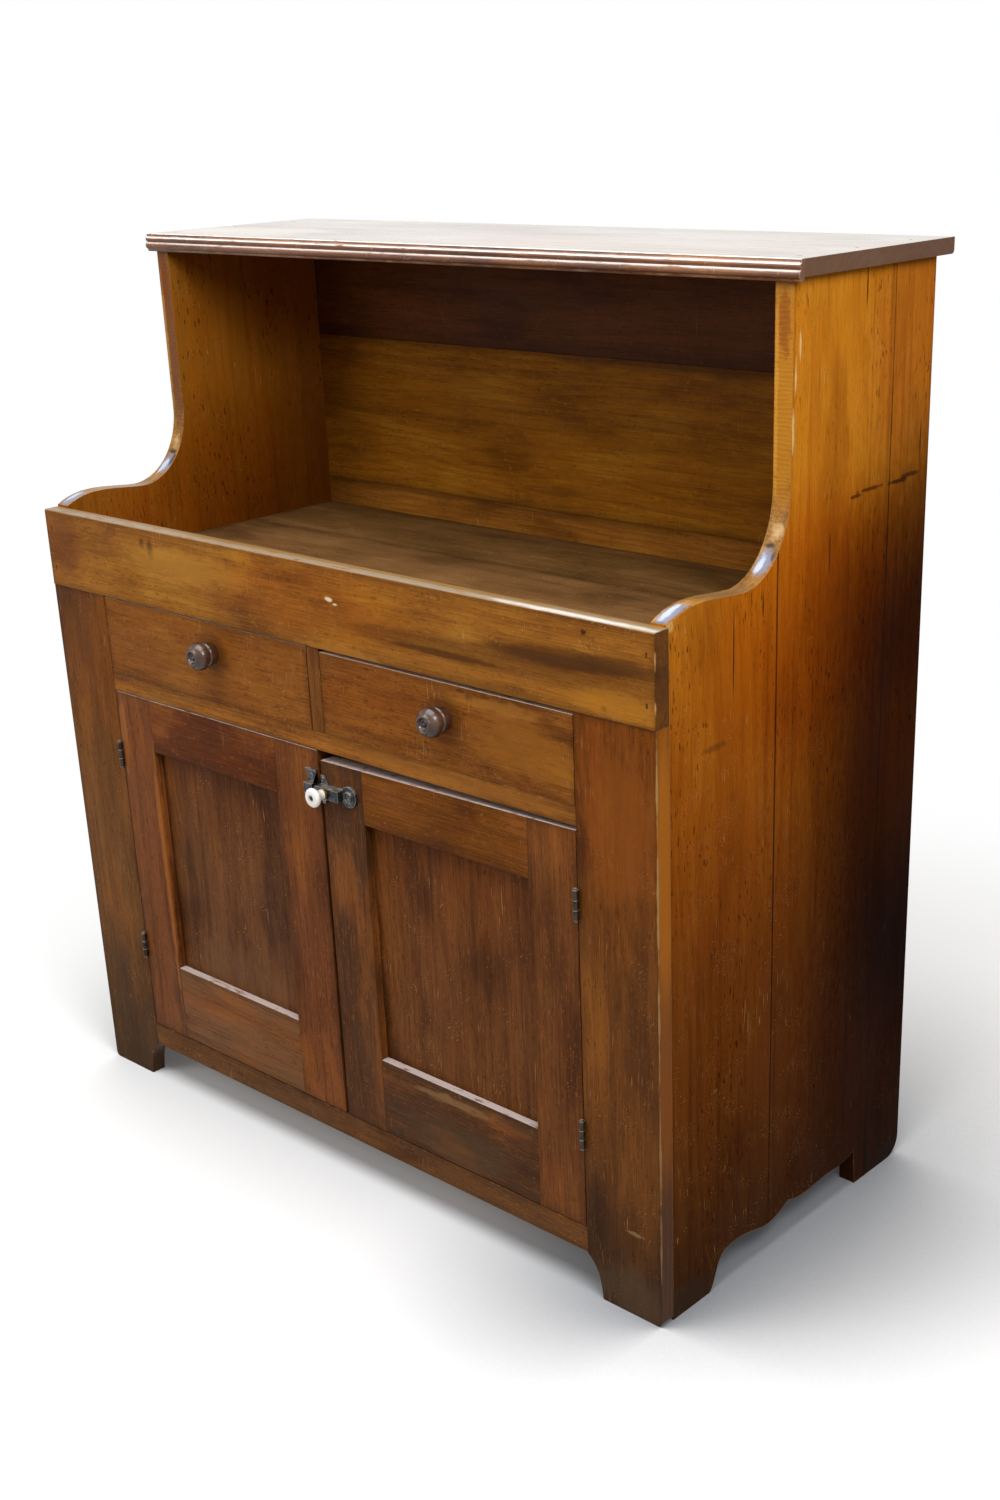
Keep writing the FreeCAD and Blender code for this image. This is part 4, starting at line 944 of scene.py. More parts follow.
@dataclass
class Side:
    """One side of the case: three boards glued into one skin, with a worn curve and feet.

    Attributes:
        node: The CAD node that it stands for.
        glue_lines: Places of the glued joints from the front.
        curve_top: Height below which the front edge is rubbed round.
        curve_foot: Height above which it is.
        curve_rear: How far back the rubbed edge reaches.
        arris: Rounding of ordinary arrises.
        rubbed: Rounding of the curved edge.
    """

    node: str
    glue_lines: tuple[float, float] = (218.0, 443.0)
    curve_top: float = 1210.0
    curve_foot: float = 870.0
    curve_rear: float = 241.0
    arris: float = 1.2
    rubbed: float = 3.0

    @property
    def sign(self) -> int:
        """Tell which side it is: 1 for the right one and -1 for the left one."""
        return 1 if self.node.startswith("right") else -1

    def on_curve(self, point: Vector) -> bool:
        """Tell whether a point in metres of the frame lies on the rubbed curve of the front edge."""
        rear = at((0.0, self.curve_rear, 0.0)).y
        return self.curve_foot * MM < point.z < self.curve_top * MM and point.y < rear

    def build(self) -> None:
        """Build the side and dress it."""
        shell = bmesh.new()
        shell.from_mesh(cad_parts[self.node].data)
        bmesh.ops.remove_doubles(shell, verts=shell.verts, dist=0.02 * MM)
        joints = [at((0.0, y, 0.0)).y for y in self.glue_lines]
        hidden = [f for f in shell.faces if abs(f.normal.y) > 0.9
                  and any(abs(f.verts[0].co.y - joint) < 0.1 * MM for joint in joints)]
        bmesh.ops.delete(shell, geom=hidden, context="FACES_ONLY")
        bmesh.ops.dissolve_limit(shell, angle_limit=FLAT, verts=shell.verts, edges=shell.edges)
        weights = shell.edges.layers.float.new("bevel_weight_edge")
        for edge in shell.edges:
            if len(edge.link_faces) == 2 and edge.calc_face_angle() >= SHARP:
                middle = (edge.verts[0].co + edge.verts[1].co) / 2
                edge[weights] = 1.0 if self.on_curve(middle) else self.arris / self.rubbed
        for face in shell.faces:
            face.material_index = int(self.on_curve(face.calc_center_median()) and abs(face.normal.x) < 0.5)
        piece = make(self.node + "_boards", shell, "case")
        soften(piece, self.rubbed, weighted=True)
        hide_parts(self.node)
        put(piece, self.finish().material(*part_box(self.node)))
        piece.data.materials.append(self.rubbed_finish().material(*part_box(self.node)))

    def rubbed_finish(self) -> Wood:
        """Choose the wood of the rubbed curve with its own marks.

        Returns:
            The finish.
        """
        # Two places of the curve carry a painted highlight: blue-grey patches with a whiter stroke in each,
        # where the polished edge would reflect the lamps.
        x = self.sign * SIDE_MIDDLE
        tone = "#a66c1a" if self.sign > 0 else "#6b4020"
        shine = (Spot((x, 241.0, 1095.0), (30.0, 12.0, 175.0), tone, 0.9, 0.5),
                 Spot((x, 240.0, 1165.0), (9.0, 8.0, 46.0), "#6e3412", 0.6, 1.3),
                 Spot((x - 9.0, 240.0, 1080.0), (3.0, 8.0, 120.0), "#c08a3a", 0.5, 1.3),
                 Spot((x, 40.0, 885.0), (12.0, 32.0, 14.0), "#767c90", 0.9, 0.6),
                 Spot((x, 206.0, 908.0), (12.0, 20.0, 24.0), "#70778c", 0.92, 0.6),
                 Spot((x - 3.0, 44.0, 886.0), (5.0, 24.0, 12.0), "#b9c1cc", 0.7, 1.5),
                 Spot((x - 3.0, 203.0, 905.0), (5.0, 15.0, 18.0), "#b9c1cc", 0.7, 1.6),
                 Spot((x, 219.0, 925.0), (12.0, 5.0, 4.5), "#221c1e", 0.85, 1.3),
                 Spot((x + 8.0, 214.0, 915.0), (4.0, 8.0, 12.0), "#2c2830", 0.7, 1.3),
                 Spot((x, 24.0, 872.0), (14.0, 5.0, 8.0), "#2a2220", 0.7, 1.2),
                 Spot((x, 130.0, 884.0), (30.0, 62.0, 14.0), "#6e5036", 0.7, 0.8),
                 Spot((x + 3.0, 227.0, 941.0), (9.0, 9.0, 13.0), "#c4a276", 0.6, 1.2))
        return replace(RUBBED_EDGE, spots=shine, seed=self.finish().seed)

    def finish(self) -> Wood:
        """Choose the side's wood with its own marks.

        Returns:
            The finish.
        """
        right = self.sign > 0
        x = self.sign * CASE_HALF_WIDTH
        glue = tuple(Spot((x, y, 560.0), (30.0, 2.0, 900.0), "#1c0c04", 0.8, 0.3) for y in self.glue_lines)
        cracks = (Spot((x, 136.5, 822.0), (30.0, 1.3, 62.0), "#160a04", 0.9, 0.2),
                  Spot((x, 191.0, 863.0), (30.0, 1.8, 15.0), "#2a1408", 0.8, 0.6),
                  Spot((x, 383.0, 1192.0), (30.0, 1.6, 32.0), "#160a04", 0.9, 0.2),
                  Spot((x, 320.5, 898.0), (30.0, 2.0, 34.0), "#3a1c0a", 0.75, 0.6),
                  Spot((x, 509.0, 998.0), (30.0, 2.0, 26.0), "#2c1406", 0.7, 0.8))
        scuffs = (Spot((x, 372.0, 954.0), (30.0, 16.0, 2.6), "#421606", 0.8, 1.3),
                  Spot((x, 404.0, 958.0), (30.0, 30.0, 2.6), "#3a1206", 0.75, 1.3),
                  Spot((x, 458.0, 957.0), (30.0, 24.0, 3.2), "#1d0e06", 0.8, 1.2),
                  Spot((x, 488.0, 961.0), (30.0, 20.0, 2.8), "#241006", 0.7, 1.2),
                  Spot((x, 103.0, 720.0), (30.0, 26.0, 5.0), "#5a2c0e", 0.5, 1.2))
        chips = tuple(Spot((x, y, z), (1.6, 2.4, reach), "#d9b47c", 0.85, 1.5)
                      for y, z, reach in ((254.0, 1137.0, 16.0), (246.0, 1106.0, 22.0), (243.0, 1049.0, 26.0),
                                          (236.0, 1000.0, 22.0), (228.0, 968.0, 18.0)))
        chips += (Spot((x, 25.0, 876.0), (5.0, 7.0, 8.0), "#c89a58", 0.8, 0.9),)
        # Painted shade: tints darken the lower and rear parts, where less light falls, and the grain shows
        # through them.
        share = 1.0 if right else 0.45
        painted_shade_tints = (Spot((x, 600.0, 560.0), (60.0, 400.0, 560.0), "#65574b", share, 0.15, Lay.TINT),
                 Spot((x, 560.0, 840.0), (60.0, 330.0, 170.0), "#cdbc95", share, 0.15, Lay.TINT),
                 Spot((x, 280.0, 820.0), (60.0, 230.0, 190.0), "#ebcc9c", share, 0.3, Lay.TINT),
                 Spot((x, 560.0, 180.0), (60.0, 360.0, 330.0), "#b4a496", share, 0.3, Lay.TINT),
                 Spot((x, 500.0, 1100.0), (60.0, 130.0, 160.0), "#f0e2ff", share, 0.6, Lay.TINT),
                 Spot((x, 120.0, 520.0), (60.0, 200.0, 150.0), "#efeaff", share, 0.6, Lay.TINT))
        feet = (Spot((x, 40.0, 14.0), (30.0, 75.0, 34.0), "#33261b", 0.75, 0.9),
                Spot((x, 510.0, 8.0), (30.0, 90.0, 30.0), "#1c1410", 0.6, 1.0),
                Spot((x, 447.0, 25.0), (40.0, 5.0, 34.0), "#150d08", 0.95, 0.2))
        # Painted shade: the side darkens by steps from 1010 mm down to the floor.
        dark = (Fade((x, 0.0, 1010.0), (x, 0.0, 640.0), "#c4aeb6", 1.0),
                Fade((x, 0.0, 650.0), (x, 0.0, 330.0), "#b4b3ea", 1.0),
                Fade((x, 0.0, 340.0), (x, 0.0, 20.0), "#a8b6ec", 1.0))
        if not right:
            # Painted shade on the inner face inside the hutch.
            inner = (Spot((-531.0, 380.0, 880.0), (12.0, 230.0, 150.0), "#dcd4c0", 1.0, 0.3, Lay.TINT),)
            return replace(AMBER_SIDE, base="#905916", bright="#a06c26", seed=8.0, fades=dark,
                           spots=painted_shade_tints + inner + glue + cracks[:2] + feet)
        return replace(AMBER_SIDE, seed=3.0, fades=dark,
                       spots=painted_shade_tints + glue + cracks + scuffs + chips + feet)


@dataclass
class Moulding:
    """The reeded strip along the front of the top, with dents where it has been knocked.

    Attributes:
        height: Height of the strip.
        fillet: How far the flat parts stand out.
        top_fillet: Height of the flat part over the beads.
        upper: How far the small bead stands out, the drop to its crown and its height.
        groove: How far the groove's floor stands out, and its height.
        lower: How far the large bead stands out, and its height.
        stations: Number of sections along the strip.
        dent: Depth of the knocks.
        knocks: Knocks in a metre along the strip, and in a millimetre round its section.
        spared: Level of the noise that makes the knocks, under which there are none.
        corner: Length of the rubbed corner at each end, and its slope.
    """

    height: float = 24.0
    fillet: float = 6.0
    top_fillet: float = 4.5
    upper: tuple[float, float, float] = (8.6, 3.8, 6.0)
    groove: tuple[float, float] = (6.8, 1.2)
    lower: tuple[float, float] = (9.5, 9.4)
    stations: int = 420
    dent: float = 0.7
    knocks: tuple[float, float] = (55.0, 0.25)
    spared: float = 0.25
    corner: tuple[float, float] = (1.3, 0.6)

    @staticmethod
    def bead(start: tuple[float, float], crown: tuple[float, float], end: tuple[float, float],
             steps: int = 12) -> list[tuple[float, float]]:
        """List points of a bead as the arc through three of them.

        Args:
            start: The (reach, drop) point where the bead starts.
            crown: A point between them.
            end: The point where it ends.
            steps: Number of steps between the two.

        Returns:
            The points from start to end.
        """
        a, b, c = Vector(start), Vector(crown), Vector(end)
        turn = 2 * ((b - a).x * (c - a).y - (b - a).y * (c - a).x)
        p, q = (b - a).length_squared, (c - a).length_squared
        centre = a + Vector((p * (c - a).y - q * (b - a).y, q * (b - a).x - p * (c - a).x)) / turn
        first = math.atan2(a.y - centre.y, a.x - centre.x)
        last = math.atan2(c.y - centre.y, c.x - centre.x)
        radius = (a - centre).length
        return [(centre.x + radius * math.cos(first + (last - first) * i / steps),
                 centre.y + radius * math.sin(first + (last - first) * i / steps)) for i in range(steps + 1)]

    def profile(self) -> list[tuple[float, float]]:
        """List the strip's section as (reach forward, drop from the top) points.

        Returns:
            The points from the top's rear corner round to the foot's rear corner.
        """
        reach, crown, tall = self.upper
        groove_drop = self.top_fillet + tall
        low_drop = groove_drop + self.groove[1]
        end_drop = low_drop + self.lower[1]
        points = [(0.0, 0.0), (self.fillet - 1.2, 0.0), (self.fillet - 0.3, 0.3), (self.fillet, 1.0),
                  (self.fillet, self.top_fillet)]
        points += self.bead((self.fillet, self.top_fillet), (reach, self.top_fillet + crown),
                            (self.groove[0], groove_drop))[1:]
        points.append((self.groove[0] - 0.6, groove_drop + self.groove[1] / 2))
        points += self.bead((self.groove[0], low_drop), (self.lower[0], (low_drop + end_drop) / 2),
                            (self.fillet, end_drop))
        return points + [(self.fillet, self.height - 0.8), (self.fillet - 0.8, self.height),
                         (0.0, self.height)]

    def build(self) -> None:
        """Run the section along the top's front edge."""
        low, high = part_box("top_moulding")
        profile = self.profile()
        along, round_section = self.knocks
        outlines = []
        for i in range(self.stations + 1):
            x = low.x + (high.x - low.x) * i / self.stations
            end = min(x - low.x, high.x - x) / MM
            rubbed = max(0.0, self.corner[0] - end) * self.corner[1]
            outline = []
            for reach, drop in profile:
                chip = noise.noise(Vector((x * along, reach * round_section, drop * round_section)))
                # The strip's back, which has no reach, stays flat on the top's edge.
                worn = self.dent * max(0.0, chip - self.spared) + rubbed if reach > 0 else 0.0
                outline.append((x, high.y - (reach - worn) * MM, high.z - drop * MM))
            outlines.append(outline)
        shell = bmesh.new()
        skin(shell, outlines, smooth=True)
        crease(shell, 48)
        piece = make("reeded_top_strip", shell, "case")
        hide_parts("top_moulding")
        # The beads' faces that look up take a pinkish-white ledge colour: a painted highlight, with some
        # dust.
        wood = replace(DRAWER, name="cherry_moulding_rubbed_shellac", base="#6c3f20", late="#4e2b12",
                       deep="#361c0d", bright="#906038", worn="#c4a890", edge=Edge.CURVED, wear=1.0,
                       wear_strength=0.3, ledge="#eadcd6", ledge_strength=1.0, sheen_level=0.4,
                       grime_and_shade_strength=0.0, seed=21.0)
        put(piece, wood.material(low, high))


@dataclass
class DrawerKnob:
    """A turned wooden knob: thin base, bead, narrow groove, domed head, dish and nipple.

    Attributes:
        node: The CAD node that it stands for.
        body: The drawer that carries it.
        x: Its axis across the cabinet.
        z: Its height.
        tenon: Radius and length of the tenon in the drawer's front.
    """

    node: str
    body: str
    x: float
    z: float
    tenon: tuple[float, float] = (6.5, 20.0)

    def profile(self) -> list[tuple[float, float]]:
        """List the knob's section.

        Returns:
            (radius, reach) points from the tenon's end to the nipple's tip.
        """
        points = [(0.0, -self.tenon[1]), (self.tenon[0], -self.tenon[1]), (self.tenon[0], 0.0),
                  (13.8, 0.0), (14.6, 0.8), (14.9, 3.0), (15.6, 6.0)]
        points += arc_points((12.9, 11.4), 4.2, -38, 66, 12)
        points += [(13.9, 15.8), (13.5, 16.4), (14.0, 16.9), (16.6, 17.2), (17.8, 17.8)]
        points += arc_points((16.9, 20.2), 2.3, -55, 0, 5)
        points += [(19.2, 21.8), (18.9, 24.2), (18.0, 26.8), (16.5, 29.2), (14.5, 31.3), (12.4, 32.9)]
        points += arc_points((9.9, 32.7), 2.25, 25, 150, 9)
        points += [(7.6, 33.0), (7.0, 31.6), (6.0, 30.6), (4.6, 30.3), (3.4, 30.6)]
        points += arc_points((0.0, 30.4), 2.8, 20, 90, 7)
        return points[:-1] + [(0.0, 33.2)]

    def build(self) -> None:
        """Turn the knob and dress it."""
        piece = turn_on_lathe(self.node + "_turned", self.profile(), (self.x, 0.0, self.z), self.body)
        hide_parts(self.node)
        put(piece, replace(KNOB_WOOD, seed=self.z).material(*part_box(self.node)))


@dataclass
class Screws:
    """Wood screws with slotted heads, in the places of a node's plain ones.

    Attributes:
        node: The CAD node that they stand for.
        body: The body that carries them.
        places: The middle of each head's seat on the cabinet.
        outward: The way the heads face.
        head: Radius and height of a head.
        shank: Radius and length of a shank.
        slot: Width and depth of the slot.
        slants: Turns of the slots in degrees, taken in order and over again.
    """

    node: str
    body: str
    places: tuple[Place, ...]
    outward: Place
    head: tuple[float, float] = (3.2, 1.5)
    shank: tuple[float, float] = (1.6, 16.0)
    slot: tuple[float, float] = (0.8, 0.7)
    slants: tuple[float, ...] = (20.0, 75.0, -35.0, 50.0)

    def build(self) -> bpy.types.Object:
        """Build all the screws of the node as one piece.

        Returns:
            The piece.
        """
        whole = bmesh.new()
        facing = Vector(self.outward).to_track_quat("Z", "Y").to_matrix().to_4x4()
        for i, place in enumerate(self.places):
            spin = Matrix.Rotation(math.radians(self.slants[i % len(self.slants)]), 4, "Z")
            one = self.single()
            one.transform(Matrix.Translation(at(place)) @ facing @ spin @ Matrix.Scale(MM, 4))
            mesh = bpy.data.meshes.new("screw")
            one.to_mesh(mesh)
            one.free()
            whole.from_mesh(mesh)
            bpy.data.meshes.remove(mesh)
        piece = make(self.node + "_slotted", whole, self.body)
        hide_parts(self.node)
        put(piece, Iron(name="steel_screw_blued", base="#4a4742", roughness=0.45).material())
        return piece

    def single(self) -> bmesh.types.BMesh:
        """Build one screw upright, its seat at zero, in millimetres.

        Returns:
            The screw's mesh: two half heads beside the slot on a round shank.
        """
        radius, height = self.head
        half, floor = self.slot[0] / 2, height - self.slot[1]
        start, steps, around = math.asin(half / radius), 14, 20
        shell = bmesh.new()
        for sign in (-1, 1):
            angles = [start + (math.pi - 2 * start) * i / steps for i in range(steps + 1)]
            rim = [(radius * math.cos(angle), sign * radius * math.sin(angle)) for angle in angles]
            crown = [(x * 0.8, self.pull(y, sign, half)) for x, y in rim]
            skin(shell, [[(x, y, z) for x, y in outline]
                         for outline, z in ((rim, floor * 0.3), (rim, height * 0.75), (crown, height))])
        angles = [2 * math.pi * i / around for i in range(around)]
        for r, z0, z1 in ((radius, 0.0, floor), (self.shank[0], -self.shank[1], 0.0)):
            skin(shell, [[(r * math.cos(angle), r * math.sin(angle), z) for angle in angles]
                         for z in (z0, z1)])
        return shell

    @staticmethod
    def pull(y: float, sign: int, half: float) -> float:
        """Draw a rim point in towards the slot to round the head.

        Args:
            y: The point's distance across the slot.
            sign: The side of the slot.
            half: Half the slot's width.

        Returns:
            The new distance.
        """
        return sign * max(half, 0.8 * abs(y))


@dataclass
class Latch:
    """The cast cupboard latch with its porcelain knob, pin, collar and keeper.

    Attributes:
        knob_x: The knob's axis across the cabinet.
        z: Height of the latch.
        case_front: How far the case stands out.
        ferrule: Radius, length and gap of the brass collar.
        knob: Radius, length and neck radius of the porcelain.
        well: Radius and depth of the well in the porcelain for the pin's head.
        ears: Seat of the ears' screws, across and from the front.
        lobe: Seat of the lobe's screw.
        keeper: Seat of the keeper's screws.
        rise: How far the paired screws sit over and under the latch's middle.
    """

    knob_x: float = 18.5
    z: float = 578.0
    case_front: float = 13.0
    ferrule: tuple[float, float, float] = (7.5, 4.0, 0.3)
    knob: tuple[float, float, float] = (13.0, 18.5, 6.8)
    well: tuple[float, float] = (3.3, 2.5)
    ears: tuple[float, float] = (6.6, -2.5)
    lobe: tuple[float, float] = (54.0, -4.0)
    keeper: tuple[float, float] = (-15.45, -2.0)
    rise: float = 14.5

    def build(self) -> None:
        """Build the turned pieces and dress the cast ones."""
        iron = Iron()
        for node in ("latch_case", "latch_bolt", "latch_keeper"):
            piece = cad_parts[node]
            put(piece, iron.material())
            soften(piece, 0.5)
            LOG.info("dressed %s", node)
        put(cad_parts["latch_knob_pin"], replace(iron, name="iron_pin_head", base="#26241f").material())
        start = self.case_front + self.ferrule[2]
        self.collar(start)
        self.porcelain(start + self.ferrule[1])
        low, high = self.z - self.rise, self.z + self.rise
        Screws("latch_case_screws", "right_door",
               ((*self.ears, low), (*self.ears, high), (*self.lobe, self.z)), TO_FRONT).build()
        Screws("latch_keeper_screws", "left_door",
               ((*self.keeper, low), (*self.keeper, high)), TO_FRONT).build()

    def collar(self, start: float) -> None:
        """Turn the brass collar.

        Args:
            start: How far its back stands out from the doors.
        """
        radius, length, _ = self.ferrule
        profile = [(0.0, start), (radius - 0.5, start), (radius, start + 0.5)]
        profile += [(radius, start + length - 1.4), (radius - 0.5, start + length - 1.0),
                    (radius - 0.2, start + length - 0.5), (radius - 0.6, start + length),
                    (0.0, start + length)]
        piece = turn_on_lathe("latch_ferrule_turned", profile, (self.knob_x, 0.0, self.z), "latch")
        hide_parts("latch_ferrule")
        put(piece, Brass().material())

    def porcelain(self, start: float) -> None:
        """Turn the porcelain knob with its waist, rim and well.

        Args:
            start: How far its neck starts from the doors.
        """
        radius, length, neck = self.knob
        well_radius, well_depth = self.well
        face = start + length
        profile = [(0.0, start), (neck, start), (neck + 0.1, start + 2.5)]
        profile += [(neck + 0.6, start + 5.0), (neck + 1.9, start + 7.6), (neck + 3.9, start + 10.0)]
        profile += arc_points((radius - 3.6, face - 3.8), 3.6, -22, 72, 12)
        profile += [(radius - 5.5, face - 0.06), (5.6, face - 0.02)]
        profile += arc_points((4.6, face - 1.0), 1.0, 75, 180, 6)
        profile += [(well_radius, face - well_depth), (0.0, face - well_depth)]
        piece = turn_on_lathe("latch_knob_glazed", profile, (self.knob_x, 0.0, self.z), "latch")
        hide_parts("latch_knob")
        put(piece, Porcelain().material())


@dataclass
class Hinges:
    """The butt hinges: iron leaves and their slotted screws.

    Attributes:
        heights: Middles of the two hinges of a door.
        opening: The opening's edge across the cabinet.
        door_edge: The doors' edge.
        depth: Depth of the screws in the edge.
        spacing: Half the distance between a leaf's screws.
        leaf: Thickness of a leaf.
    """

    heights: tuple[float, float] = (229.0, 533.5)
    opening: float = 437.0
    door_edge: float = 435.5
    depth: float = 13.0
    spacing: float = 11.0
    leaf: float = 1.6

    def build(self) -> None:
        """Dress the leaves and build the screws."""
        iron = Iron(name="wrought_iron_hinge", base="#4c4036", rust="#38261a", grit=2.2, roughness=0.42)
        for node in ("frame_hinge_leaves", "left_door_hinge_leaves", "right_door_hinge_leaves"):
            put(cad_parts[node], iron.material())
            LOG.info("dressed %s", node)
        rows = [z + s * self.spacing for z in self.heights for s in (-1, 1)]
        small = {"head": (2.8, 1.5), "shank": (1.4, 13.0), "slot": (0.8, 0.6)}
        sides = (("left", -1), ("right", 1))
        for side, sign in sides:
            seats = tuple((sign * (self.opening + self.leaf), self.depth, z) for z in rows)
            piece = Screws("frame_hinge_screws", "case", seats, (-sign, 0, 0), **small).build()
            piece.name = "frame_hinge_screws_" + side
        for side, sign in sides:
            seats = tuple((sign * (self.door_edge - self.leaf), self.depth, z) for z in rows)
            Screws(side + "_door_hinge_screws", side + "_door", seats, (sign, 0, 0), **small).build()


@dataclass
class Case:
    """The case: sides, front frame, splash board, top, back, floors and drawer framing.

    Attributes:
        arris: Rounding of the boards' arrises.
    """

    arris: float = 1.3

    def build(self) -> None:
        """Build and dress every piece of the case."""
        for node in ("left_side", "right_side"):
            Side(node).build()
        Moulding().build()
        ends = tuple(Spot((x, 380.0, 1220.0), (4.0, 600.0, 200.0), "#634431", 0.9, 0.3)
                     for x in (-569.0, 569.0))
        smears = (Spot((180.0, 330.0, 1230.0), (240.0, 80.0, 20.0), "#8a6440", 0.45, 1.3),
                  Spot((-180.0, 470.0, 1230.0), (180.0, 60.0, 20.0), "#5e5246", 0.55, 1.3),
                  Spot((-400.0, 320.0, 1230.0), (170.0, 90.0, 20.0), "#b8ac98", 0.5, 1.3))
        dress("top_board", replace(TOP, spots=smears + ends), radius=2.0)
        self.splash_board()
        self.stiles_and_rails()
        self.back_and_floors()
        self.drawer_framing()
        dress("case_nails", replace(FRAME, name="wax_filled_nail_hole", base="#5e3816", late="#4a2a10",
                                    deep="#3a200c", bright="#6a4420", fades=()), radius=0)

    def splash_board(self) -> None:
        """Dress the splash board with its streak, marks, lip and end grain."""
        streak = (Spot((300.0, -1.0, 806.0), (300.0, 30.0, 18.0), "#54300e", 0.55, 0.3),
                  Spot((430.0, -1.0, 824.0), (150.0, 30.0, 15.0), "#42210a", 0.7, 0.35),
                  Spot((400.0, -1.0, 821.0), (115.0, 30.0, 9.0), "#38200e", 0.55, 0.35),
                  Spot((505.0, -1.0, 829.0), (85.0, 30.0, 12.0), "#38200e", 0.55, 0.35),
                  Spot((230.0, -1.0, 798.0), (110.0, 30.0, 5.0), "#331808", 0.6, 0.8))
        marks = (Spot((43.0, -1.0, 833.0), (9.0, 30.0, 3.6), "#d8cdbc", 0.95, 1.7),
                 Spot((53.0, -1.0, 829.0), (7.0, 30.0, 2.4), "#e2d8c8", 0.9, 1.5),
                 Spot((455.6, -1.0, 860.0), (5.0, 30.0, 4.0), "#2a1306", 0.85, 0.5),
                 Spot((483.0, -1.0, 778.5), (5.0, 30.0, 4.0), "#33190a", 0.8, 0.7),
                 Spot((-314.5, -1.0, 849.0), (7.0, 30.0, 16.0), "#37200c", 0.75, 1.3),
                 Spot((-332.0, -1.0, 856.0), (6.0, 30.0, 9.0), "#37200c", 0.6, 1.3),
                 Spot((-240.0, -1.0, 832.0), (150.0, 30.0, 26.0), "#ae7c30", 0.5, 1.0),
                 Spot((-520.0, -1.0, 830.0), (50.0, 30.0, 60.0), "#6a3a1c", 0.6, 0.8),
                 Spot((500.0, -1.0, 785.0), (80.0, 30.0, 16.0), "#a0661e", 0.6, 0.9),
                 Spot((60.0, -1.0, 770.0), (90.0, 30.0, 9.0), "#a9722c", 0.5, 1.3),
                 Spot((0.0, -1.0, 825.0), (230.0, 30.0, 60.0), "#ffeed6", 1.0, 0.5, Lay.TINT))
        # The lip's pale stretch to the right is a painted highlight on its top edge.
        lip = (Spot((0.0, 19.0, 874.0), (900.0, 10.0, 6.0), "#7a5a2c", 0.85, 0.5),
               Spot((440.0, 5.0, 875.0), (150.0, 7.0, 1.6), "#d4cec4", 0.7, 0.8))
        ends = (Spot((557.0, 10.0, 821.0), (4.0, 60.0, 120.0), "#3a1c07", 0.74, 0.3),
                Spot((555.0, -1.0, 845.0), (1.8, 2.0, 12.0), "#b98a5a", 0.7, 1.3),
                Spot((555.0, -1.0, 793.0), (1.8, 2.0, 9.0), "#c79a66", 0.7, 1.3))
        dress("splash_board", replace(GOLDEN_SPLASH, spots=streak + marks + lip + ends), radius=2.0)

    def stiles_and_rails(self) -> None:
        """Dress the stiles, the rails and the upright between the drawers."""
        # The stile's flank carries the same amber shellac as the side behind it, and the same painted shade,
        # darker towards the floor.
        flank = tuple(Spot((555.4, 12.0, z), (1.6, 22.0, reach), tone, 0.82, 0.25)
                      for z, reach, tone in ((600.0, 240.0, "#a86214"), (330.0, 170.0, "#804714"),
                                             (90.0, 150.0, "#4c2d18")))
        corner = tuple(Spot((555.0, 0.0, z), (1.8, 2.4, reach), "#a08050", strength, 1.5)
                       for z, reach, strength in ((700.0, 55.0, 0.9), (560.0, 80.0, 0.8), (400.0, 70.0, 0.7),
                                                  (250.0, 80.0, 0.6), (110.0, 60.0, 0.5)))
        scuffs = (Spot((512.0, 0.0, 118.0), (16.0, 20.0, 3.0), "#8a6a4a", 0.7, 1.5),
                  Spot((500.0, 0.0, 30.0), (90.0, 20.0, 42.0), "#4c3b2a", 0.6, 1.0),
                  Spot((466.0, 0.0, 670.0), (20.0, 20.0, 110.0), "#904a18", 0.3, 1.0),
                  Spot((505.0, 0.0, 640.0), (60.0, 20.0, 130.0), "#8a4c18", 0.45, 1.0))
        dress("right_stile", replace(FRAME, base="#6f4119", bright="#88521e", wear_strength=0.2,
                                     spots=scuffs + flank + corner, seed=4.0),
              radius=self.arris)
        dress("left_stile", replace(FRAME, base="#6a4420", seed=5.0), radius=self.arris)
        dress("middle_rail", replace(FRAME, name="cherry_rail_amber_shellac", base="#985c20",
                                     bright="#b0742c", grain=Grain.ACROSS_FRONT, fades=(), seed=6.0,
                                     spots=(Spot((250.0, 0.0, 641.0), (260.0, 20.0, 14.0), "#a0672a",
                                                 0.4, 0.6),)),
              radius=self.arris)
        dress("bottom_rail", replace(FRAME, base="#64401f", grain=Grain.ACROSS_FRONT, fades=(), seed=7.0),
              radius=self.arris)
        dress("drawer_divider", replace(FRAME, base="#7f4d1d", fades=(), seed=9.0), radius=self.arris)

    def back_and_floors(self) -> None:
        """Dress the back boards, the sink's floor, the shelf and the cupboard's floor."""
        dress("upper_back_board", DARK_BACK, radius=0.6)
        dress("hutch_back_board", OLIVE_BACK, radius=0.6)
        dress("lower_back_boards", replace(OLIVE_BACK, base="#84521a", bright="#966222", seed=12.0), radius=0)
        dress("sink_floor_front_board", replace(SINK_FLOOR, base="#905c1a", bright="#a8742a", late="#764810",
                                                seed=13.0), radius=0.8)
        dress("sink_floor_middle_board", replace(SINK_FLOOR, seed=14.0), radius=0.8)
        dress("sink_floor_rear_board", replace(SINK_FLOOR, base="#644622", seed=15.0), radius=0.8)
        flat = replace(BARE_PINE, name="pine_planed_bare", grain=Grain.FLAT)
        dress("shelf_board", replace(flat, seed=16.0), radius=1.0)
        dress("cupboard_floor_boards", replace(flat, seed=17.0), radius=0)

